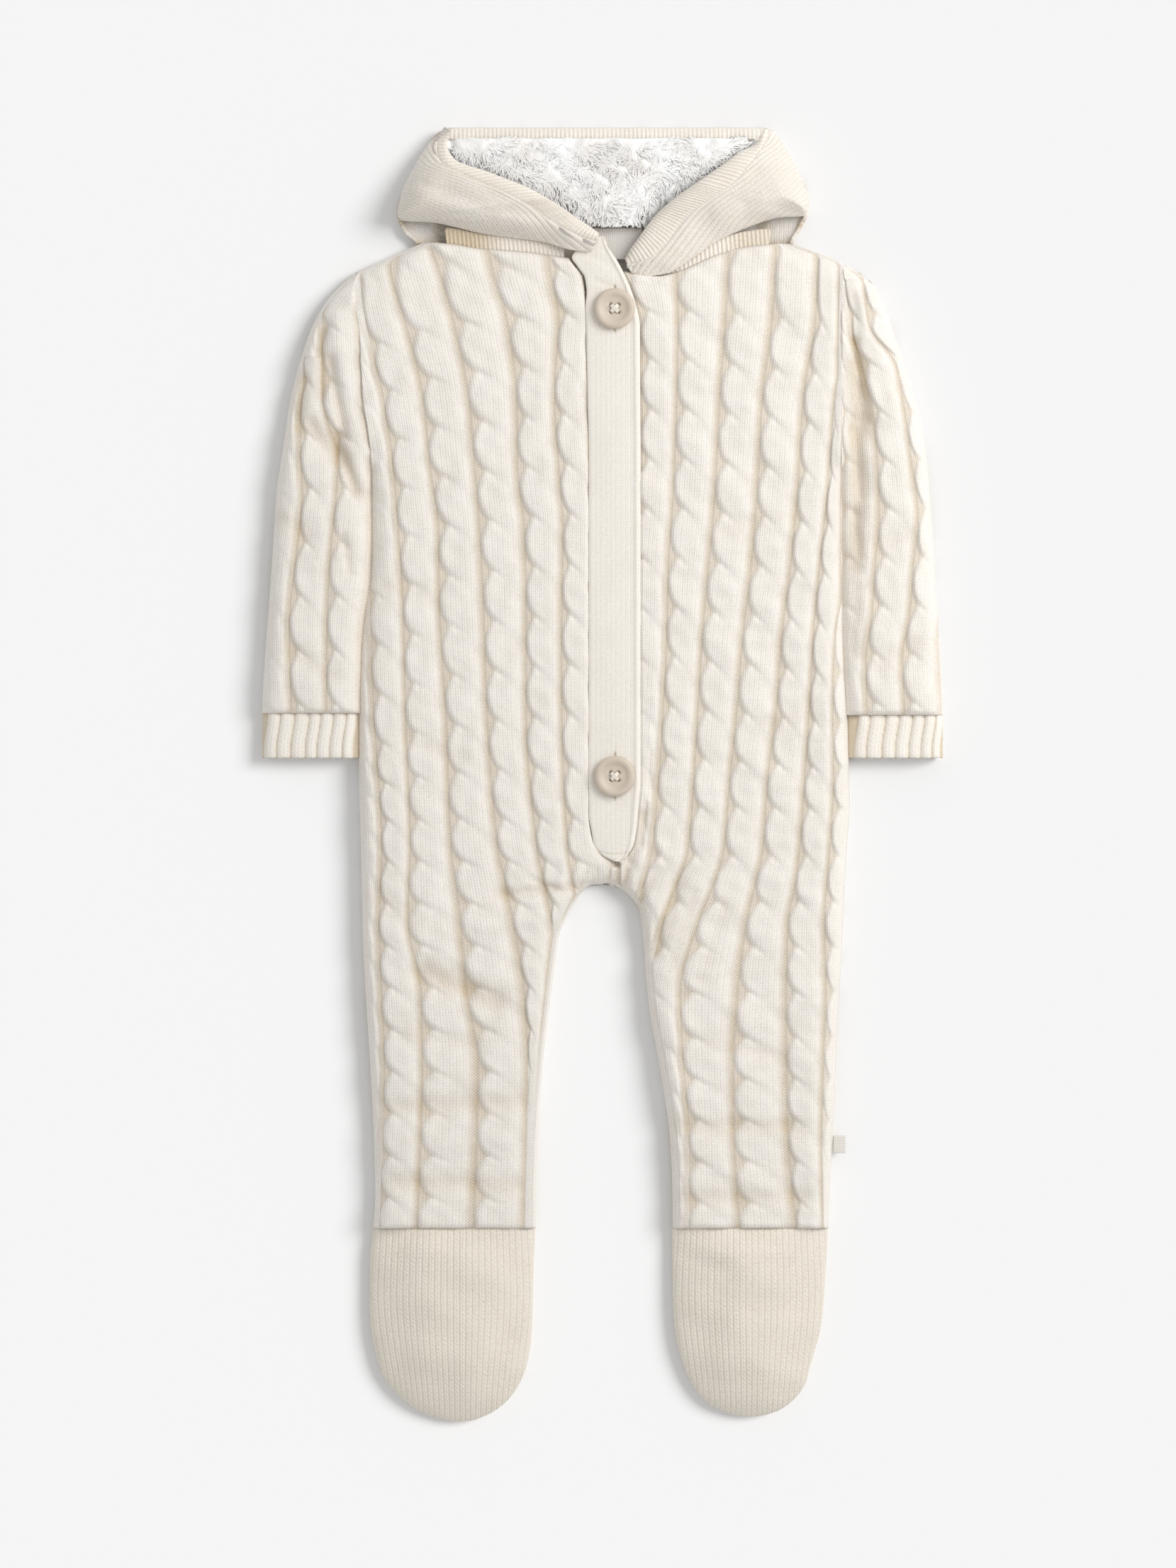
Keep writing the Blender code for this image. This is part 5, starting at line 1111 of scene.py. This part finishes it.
# %% Placket
def placket():
    left, right = column(PLACKET, 1), column(PLACKET, 2)
    y = np.concatenate([np.linspace(265.6, 226, 66), np.linspace(225.2, -18, 170),
                        np.linspace(-19, -42.2, 46)])
    a, b = left(y) - 1.3 * ease((240 - y) / 10) * ease((y + 42) / 4), right(y)
    even = np.linspace(0, 1, 92)
    share = 0.5 - 0.5 * np.cos(math.pi * (0.5 * even + 0.5 * ease(even)))
    share = even * 0.6 + share * 0.4
    share[0], share[-1] = 0, 1
    x, level = spread(a, b, y, share)
    s = share[None]
    crown = PLACKET_CROWN * np.sin(math.pi * s) + 0.7 * np.exp(-(((s - 0.92) / 0.05) ** 2))
    edge = (b - a)[:, None] * np.minimum(s, 1 - s)
    round_off = 0.9 * (1 - quarter(edge / 1.7))
    ribs = np.sin(math.pi * (x - 18.7) / 2.5) ** 2
    away = ease((0.88 - s) / 0.05) * ease(edge / 2)
    z = PLACKET_SILL + PLACKET_WALL + crown - round_off + 0.06 * (ribs - 0.5) * away
    z = z + 0.22 * uneven(x, level, 34, 95) + folds(x, level, PLACKET_FOLDS)
    # Painted shade: a little in the rib valleys, strongly in each buttonhole slit, and along the
    # stitched seam at the foot.
    painted_shade = 0.08 * (1 - ribs) * away
    for cx, cy in BUTTONS.values():
        slit = np.exp(-(((x - cx) / 0.5) ** 2))
        slit = slit * ease((level - cy + 12) / 1.0) * ease((cy + 12.2 - level) / 1.2)
        z, painted_shade = z - 0.9 * slit, np.maximum(painted_shade, 1.4 * slit)
    end_seam = np.exp(-(((level + 38.6 - 0.02 * (x - 6) ** 2) / 0.5) ** 2)) * (level < -30)
    z, painted_shade = z - 0.35 * end_seam, np.maximum(painted_shade, 0.5 * end_seam)
    points = np.stack([x, level, np.maximum(z, PLACKET_SILL + 1.4)], -1)
    stitch = cloth_map((x - 18.7) * WALE / 1.25, level * 1.7)
    return surface("rib_placket", points, stitch, painted_shade, wall=2.4)


keep("placket", placket(), "rib_knit", (0.048, 0.31), 0.5, ["front_left", "front_right"])

# %% [markdown]
# ## Buttons
# A 20 mm resin button is turned on a lathe: a dished middle, a step up to a rounded rim and a
# flat back. The profile is spun by multiplying it with sines and cosines, and four holes are
# cut with a Boolean. Sewing thread comes up through the holes and crosses in the middle.

# %% Buttons and their thread
def lathe(name, profile, centre, steps=96):
    """Spins a profile of (radius, height) round Z: x = r cos t, y = r sin t."""
    r, h = np.array(profile).T
    t = np.linspace(0, 2 * math.pi, steps, endpoint=False)
    x, y = r[:, None] * np.cos(t), r[:, None] * np.sin(t)
    points = np.stack([x, y, np.repeat(h[:, None], steps, 1)], -1) + np.array(centre)
    return surface(name, points, cloth_map(x, y), ring=True, up=True, wall=0, weld=True)


def thread_path(cx, cy, z, reach):
    """Three turns of thread over each diagonal pair of holes, each a low arc."""
    runs = []
    for k, (sx, sy) in enumerate(((1, 1), (1, -1))):
        for j in (-1, 0, 1):
            t = np.linspace(-1, 1, 15)
            arc = 0.75 * np.cos(t * math.pi / 2) ** 0.5 + 0.25 * k - 1.1 * (np.abs(t) > 0.97)
            x = cx + sx * reach * t - sy * j * 0.42
            y = cy + sy * reach * t + sx * j * 0.42
            runs.append(np.stack([x, y, z + arc + 0.1 * j], -1))
    return runs


def strand_of(name, runs, radius):
    """Round threads along paths: each ring of 7 points stands square to its path."""
    points, faces, start = [], [], 0
    for path in runs:
        run = np.gradient(path, axis=0)
        run /= np.linalg.norm(run, axis=1, keepdims=True)
        side = np.cross(run, [0, 0, 1.0])
        side /= np.linalg.norm(side, axis=1, keepdims=True)
        up = np.cross(side, run)
        t = np.linspace(0, 2 * math.pi, 7, endpoint=False)[None, :, None]
        ring = path[:, None] + radius * (side[:, None] * np.cos(t) + up[:, None] * np.sin(t))
        n = np.arange(len(path) * 7).reshape(len(path), 7) + start
        m = np.roll(n, -1, 1)
        faces += np.stack([n[:-1], m[:-1], m[1:], n[1:]], -1).reshape(-1, 4).tolist()
        faces += [n[0][::-1].tolist(), n[-1].tolist()]
        points.append(ring.reshape(-1, 3))
        start += n.size
    mesh = bpy.data.meshes.new(name)
    mesh.from_pydata((np.concatenate(points) * MM).tolist(), [], faces)
    mesh.shade_smooth()
    return placed(name, mesh)


threads = []
base = PLACKET_SILL + PLACKET_WALL + PLACKET_CROWN + 2 * SEW
reach = BUTTON_HOLE_REACH / math.sqrt(2)
profile = [(0.0, 2.1), (2.6, 2.1), (4.6, 2.15), (5.6, 2.35), (6.4, 2.85), (7.0, 3.2), (7.6, 3.38),
           (8.3, 3.42), (9.0, 3.3), (9.6, 2.9), (9.93, 2.3), (BUTTON_RADIUS, 1.7), (9.93, 1.0),
           (9.5, 0.4), (8.8, 0.06), (8.0, 0.0), (4.0, 0.0), (0.0, 0.0)]
for name, (cx, cy) in BUTTONS.items():
    button = lathe(f"{name}_resin", profile, (cx, cy, base))
    for sx, sy in ((1, 1), (1, -1), (-1, 1), (-1, -1)):
        hole = lathe("hole", [(0, 6), (BUTTON_HOLE, 6), (BUTTON_HOLE, -3), (0, -3)],
                     (cx + sx * reach, cy + sy * reach, base), 20)
        cut = button.modifiers.new("hole", "BOOLEAN")
        cut.object, cut.solver = hole, "EXACT"
        drilled = button.evaluated_get(bpy.context.evaluated_depsgraph_get())
        solid = bpy.data.meshes.new_from_object(drilled)
        button.modifiers.clear()
        button.data = solid
        bpy.data.objects.remove(hole)
    keep(name, button, "button_resin")
    runs = thread_path(cx, cy, base + 2.2, reach + 0.25)
    threads.append(strand_of(f"{name}_thread", runs, 0.36))

# %% [markdown]
# ## Side label
# A small folded tab of woven tape is caught in the left side seam. It is left bare.

# %% Side label
def label():
    width, height = LABEL
    x0, x1 = 113.9, 113.9 + width
    low, high = LABEL_Y - height / 2, LABEL_Y + height / 2
    x, y = np.meshgrid(np.linspace(x0, x1, 24), np.linspace(high, low, 30))
    edge = np.minimum(np.minimum(x - x0, x1 - x), np.minimum(high - y, y - low))
    z = 4.85 - 0.3 * (1 - quarter(edge / 0.8)) + 0.12 * np.sin((x - x0) * 0.6)
    return surface("woven_tab", np.stack([x, y, z], -1), cloth_map(x, y), wall=0.8)


keep("side_label", label(), "cotton_tape", (0.0124, 0.010), 0.45)

# %% [markdown]
# ## Materials
# One function turns sRGB hex colours into the linear numbers that Blender works with, and one
# small function adds a node, its settings and its links.

# %% Colour and node helpers
def srgb(code):
    """Linear colour of an sRGB hex: each channel c becomes ((c + 0.055) / 1.055) ^ 2.4."""
    c = np.array([int(code[i : i + 2], 16) for i in (1, 3, 5)]) / 255
    c = np.where(c > 0.04045, ((c + 0.055) / 1.055) ** 2.4, c / 12.92)
    return (*c.tolist(), 1.0)


def feed(tree, node, inputs):
    """Gives a node its inputs: a socket is linked, a number or a colour is set."""
    for key, value in inputs.items():
        if isinstance(value, bpy.types.NodeSocket):
            tree.links.new(value, node.inputs[key])
        else:
            node.inputs[key].default_value = value


def add(tree, kind, inputs=None, out=0, **settings):
    """Adds a node with its settings and inputs, and gives back one of its outputs."""
    node = tree.nodes.new(kind)
    for key, value in settings.items():
        setattr(node, key, value)
    feed(tree, node, inputs or {})
    return node if out is None else node.outputs[out]


def blank(name):
    """A new material, its node tree and its main shader."""
    made = bpy.data.materials.new(name)
    made.use_nodes = True
    tree = made.node_tree
    return made, tree, tree.nodes["Principled BSDF"]


# %% [markdown]
# ## Knitted cotton and wool yarn
# A soft spun yarn scatters light almost evenly, so it is rough, with a little sheen from its
# loose fibres. Stocking stitch is rows of V shapes: across one wale the yarn makes two legs
# that lean towards each other, so the height is a wave along V whose phase grows away from the
# wale's middle. The wrong side shows rows of small bumps instead. Deep between the ropes, and in
# the low parts of each stitch, the colour is painted darker and warmer: painted shade, warm like
# light that has passed through yarn several times.

# %% Knit material
def knit(name, light, deep, wale=WALE, course=COURSE, relief=0.5, rounded=0.2, speck=0.5):
    made, tree, shader = blank(name)
    uv = add(tree, "ShaderNodeUVMap", uv_map="stitch")
    xyz = add(tree, "ShaderNodeSeparateXYZ", {0: uv}, out=None)
    place = add(tree, "ShaderNodeTexCoord", out=3)
    got = {
        "across": xyz.outputs[0],
        "along": xyz.outputs[1],
        "purl": add(tree, "ShaderNodeAttribute", attribute_name="purl", out=2),
        "painted_shade": add(tree, "ShaderNodeAttribute", attribute_name="painted_shade", out=2),
        "fuzz": add(tree, "ShaderNodeTexNoise", {"Vector": place, "Scale": 900.0, "Detail": 3.0}),
        "patch": add(tree, "ShaderNodeTexNoise", {"Vector": place, "Scale": 70.0, "Detail": 2.0}),
    }
    steps = [
        ("u", "DIVIDE", "across", wale * MM),
        ("v", "DIVIDE", "along", course * MM),
        ("part", "FRACT", "u"),
        ("part", "SUBTRACT", "part", 0.5),
        ("off", "ABSOLUTE", "part"),  # 0 in the wale's middle, 0.5 at its side
        ("leg", "MULTIPLY", "off", 2 * math.pi),
        ("leg", "SINE", "leg"),  # 1 on each leg of the V
        ("leg", "MAXIMUM", "leg", 0.0),
        ("leg", "POWER", "leg", 0.5),
        ("slant", "MULTIPLY_ADD", "off", 1.5, "v"),
        ("slant", "MULTIPLY", "slant", 2 * math.pi),
        ("slant", "SINE", "slant"),
        ("slant", "MULTIPLY_ADD", "slant", 0.28, 0.72),
        ("vee", "MULTIPLY", "leg", "slant"),
        ("vee", "MULTIPLY", "vee", 1 - rounded),
        ("round", "MULTIPLY", "off", math.pi),
        ("round", "COSINE", "round"),
        ("vee", "MULTIPLY_ADD", "round", rounded, "vee"),
        ("row", "MULTIPLY", "v", 2 * math.pi),
        ("row", "SINE", "row"),
        ("bead", "MULTIPLY", "u", 4 * math.pi),
        ("bead", "SINE", "bead"),
        ("bumps", "MULTIPLY", "row", "bead"),
        ("bumps", "MULTIPLY_ADD", "bumps", 0.5, 0.5),
        ("rest", "SUBTRACT", "bumps", "vee"),
        ("height", "MULTIPLY_ADD", "rest", "purl", "vee"),  # V on the ropes, bumps on purl
        ("grain", "MULTIPLY", "height", 0.8),
        ("grain", "MULTIPLY_ADD", "fuzz", 0.55, "grain"),
        # Painted shade: the colour turns towards the deep one in the marked valleys and in the low
        # parts of each stitch, more on purl. Fuzz and patch add random tone.
        ("low", "SUBTRACT", 1.0, "height"),
        ("weight", "MULTIPLY_ADD", "purl", 0.5, 0.14),
        ("tint", "MULTIPLY", "painted_shade", 0.5),
        ("tint", "MULTIPLY_ADD", "low", "weight", "tint"),
        ("fuzz", "SUBTRACT", "fuzz", 0.5),
        ("tint", "MULTIPLY_ADD", "fuzz", speck, "tint"),
        ("patch", "SUBTRACT", "patch", 0.5),
        ("tint", "MULTIPLY_ADD", "patch", 0.2, "tint"),
        ("tint", "MAXIMUM", "tint", 0.0),
    ]
    for result, operation, *values in steps:
        inputs = {i: got.get(value, value) for i, value in enumerate(values)}
        got[result] = add(tree, "ShaderNodeMath", inputs, operation=operation)
    colour = add(tree, "ShaderNodeMix", {0: got["tint"], 6: srgb(light), 7: srgb(deep)},
                 out=2, data_type="RGBA")
    bump = add(tree, "ShaderNodeBump",
               {"Strength": 0.5, "Distance": relief * MM, "Height": got["grain"]})
    feed(tree, shader, {"Base Color": colour, "Normal": bump, "Roughness": 0.92,
                        "Specular IOR Level": 0.2, "Sheen Weight": 0.25, "Sheen Roughness": 0.5})
    return made


# The second colour of each knit is darker and warmer: the painted-shade colour, also used a little for
# random speckle and patches.
finishes = {
    "cable_knit": knit("spun cotton yarn, cable knit", "#F6F1EA", "#C4AD88",
                       ROPE_WALE, ROPE_COURSE, relief=0.7),
    "rib_knit": knit("spun cotton yarn, fine rib", "#F9F4EC", "#CDBA9B", relief=0.5),
    "foot_knit": knit("spun cotton yarn, stocking stitch", "#F2EADD", "#AE9C80",
                      relief=1.3, rounded=0.45),
}
print("knit materials:", [m.name for m in finishes.values()])

# %% [markdown]
# ## Fleece, tape, resin and thread
# Polyester pile is whiter and a little shinier than the yarn; painted shade makes it greyer towards the
# roots of its locks.
# Woven tape has a thread crossing every 0.5 mm. Cast resin is smooth, faintly clouded and
# slightly glossy, and its gloss follows the clouding.

# %% Other materials
def fleece_material():
    made, tree, shader = blank("polyester fleece pile")
    painted_shade = add(tree, "ShaderNodeAttribute", attribute_name="painted_shade", out=2)
    place = add(tree, "ShaderNodeTexCoord", out=3)
    patch = add(tree, "ShaderNodeTexNoise", {"Vector": place, "Scale": 55.0, "Detail": 3.0})
    fine = add(tree, "ShaderNodeTexNoise", {"Vector": place, "Scale": 1200.0, "Detail": 2.0})
    # Painted shade: greyer towards the roots of the locks; patch adds random tone.
    tint = add(tree, "ShaderNodeMath", {0: painted_shade, 1: 0.25, 2: -0.3}, operation="MULTIPLY_ADD")
    tint = add(tree, "ShaderNodeMath", {0: patch, 1: 0.7, 2: tint},
               operation="MULTIPLY_ADD", use_clamp=True)
    colour = add(tree, "ShaderNodeMix", {0: tint, 6: srgb("#FFFFFE"), 7: srgb("#E8D8CA")},
                 out=2, data_type="RGBA")
    bump = add(tree, "ShaderNodeBump", {"Strength": 0.5, "Distance": 0.0005, "Height": fine})
    feed(tree, shader, {"Base Color": colour, "Normal": bump, "Roughness": 0.7, "Sheen Weight": 0.4})
    return made


def woven_material(name, light, deep):
    made, tree, shader = blank(name)
    uv = add(tree, "ShaderNodeUVMap", uv_map="stitch")
    warp = add(tree, "ShaderNodeTexWave", {"Vector": uv, "Scale": 320.0}, bands_direction="X", out=1)
    weft = add(tree, "ShaderNodeTexWave", {"Vector": uv, "Scale": 320.0}, bands_direction="Y", out=1)
    cross = add(tree, "ShaderNodeMath", {0: warp, 1: weft}, operation="MULTIPLY")
    colour = add(tree, "ShaderNodeMix", {0: cross, 6: srgb(deep), 7: srgb(light)},
                 out=2, data_type="RGBA")
    bump = add(tree, "ShaderNodeBump", {"Strength": 0.4, "Distance": 0.0002, "Height": cross})
    feed(tree, shader, {"Base Color": colour, "Normal": bump, "Roughness": 0.8})
    return made


def resin_material():
    made, tree, shader = blank("cast polyester resin, matt")
    place = add(tree, "ShaderNodeTexCoord", out=3)
    cloud = add(tree, "ShaderNodeTexNoise", {"Vector": place, "Scale": 160.0, "Detail": 4.0})
    colour = add(tree, "ShaderNodeMix", {0: cloud, 6: srgb("#C8BAA9"), 7: srgb("#DACDBD")},
                 out=2, data_type="RGBA")
    rough = add(tree, "ShaderNodeMath", {0: cloud, 1: 0.25, 2: 0.3}, operation="MULTIPLY_ADD")
    feed(tree, shader, {"Base Color": colour, "Roughness": rough, "IOR": 1.5})
    return made


def thread_material():
    made, tree, shader = blank("cotton sewing thread")
    place = add(tree, "ShaderNodeTexCoord", out=3)
    twist = add(tree, "ShaderNodeTexNoise", {"Vector": place, "Scale": 2500.0})
    colour = add(tree, "ShaderNodeMix", {0: twist, 6: srgb("#E6DACB"), 7: srgb("#FFFAF2")},
                 out=2, data_type="RGBA")
    feed(tree, shader, {"Base Color": colour, "Roughness": 0.8})
    return made


finishes["fleece"] = fleece_material()
finishes["cotton_tape"] = woven_material("woven cotton tape", "#F8F5F1", "#DDD7CF")
finishes["button_resin"] = resin_material()
thread_finish = thread_material()
print("materials:", len(bpy.data.materials))

# %% [markdown]
# ## Each piece's material, body and hidden solid
# Every piece stands for its solid, takes that solid's material slot and rides on the one body.

for node, (made, slot, flat, share, under) in pieces.items():
    made.data.materials.clear()
    made.data.materials.append(finishes[slot])
    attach(made, "root")
    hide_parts(node)
pile.data.materials.append(finishes["fleece"])
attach(pile, "root")
for thread in threads:
    thread.data.materials.append(thread_finish)
    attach(thread, "root")
print("pieces:", len(pieces) + 1 + len(threads))

# %% [markdown]
# ## Table, light and camera
# The table is a pale matt sheet. A broad light from the upper right gives the soft shadow on
# the left, and the even surroundings fill the rest. The camera looks straight down from 2.2 m.

# %% Stage
floor_mesh = bpy.data.meshes.new("table")
floor_mesh.from_pydata([(-3, -3, 0), (3, -3, 0), (3, 3, 0), (-3, 3, 0)], [], [(0, 1, 2, 3)])
floor = placed("table", floor_mesh)
paper, tree, shader = blank("matt paper")
feed(tree, shader, {"Base Color": srgb("#F2F2F2"), "Roughness": 1.0, "Specular IOR Level": 0.0})
floor_mesh.materials.append(paper)
floor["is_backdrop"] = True

world = bpy.data.worlds.new("studio")
bpy.context.scene.world = world
world.use_nodes = True
world.node_tree.nodes["Background"].inputs[0].default_value = srgb("#FFFFFF")
world.node_tree.nodes["Background"].inputs[1].default_value = 0.60


def lamp(name, kind, place, turn, lights, **settings):
    """A light that reaches only the objects in one collection, but is shaded by everything."""
    data = bpy.data.lights.new(name, kind)
    for key, value in settings.items():
        setattr(data, key, value)
    made = placed(name, data)
    made.location, made.rotation_euler = place, turn
    made.light_linking.receiver_collection = lights
    return made


on_table = bpy.data.collections.new("lit table")
on_table.objects.link(floor)
on_cloth = bpy.data.collections.new("lit garment")
for made in [p[0] for p in pieces.values()] + [pile] + threads:
    on_cloth.objects.link(made)
lamp("window on the table", "SUN", (1, 1, 1), (math.radians(-16), math.radians(52), 0), on_table,
     energy=2.3, angle=math.radians(26), color=(1.0, 1.0, 1.0))
lamp("window on the cloth", "AREA", (0.85, 0.55, 0.95), (math.radians(-26), math.radians(38), 0),
     on_cloth, energy=11.5, size=0.9, color=(1.0, 0.995, 0.985))

camera = bpy.data.cameras.new("camera")
camera.sensor_width, camera.lens = 36.0, 102.0
camera.clip_start, camera.clip_end = 0.05, 20.0
camera_object = placed("camera", camera)
camera_object.location = (-0.0072, -0.0040, 2.2)
bpy.context.scene.camera = camera_object
bpy.context.scene.view_settings.view_transform = "Standard"
print("camera", tuple(camera_object.location), "lens", camera.lens)

# %% Sizes, and the end
seen_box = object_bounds()
plain = lambda box: [[float(v) for v in corner] for corner in box]
{"cad": plain(cad_box), "visual": plain(seen_box)}
print("model box", plain(cad_box), "visual box", plain(seen_box))
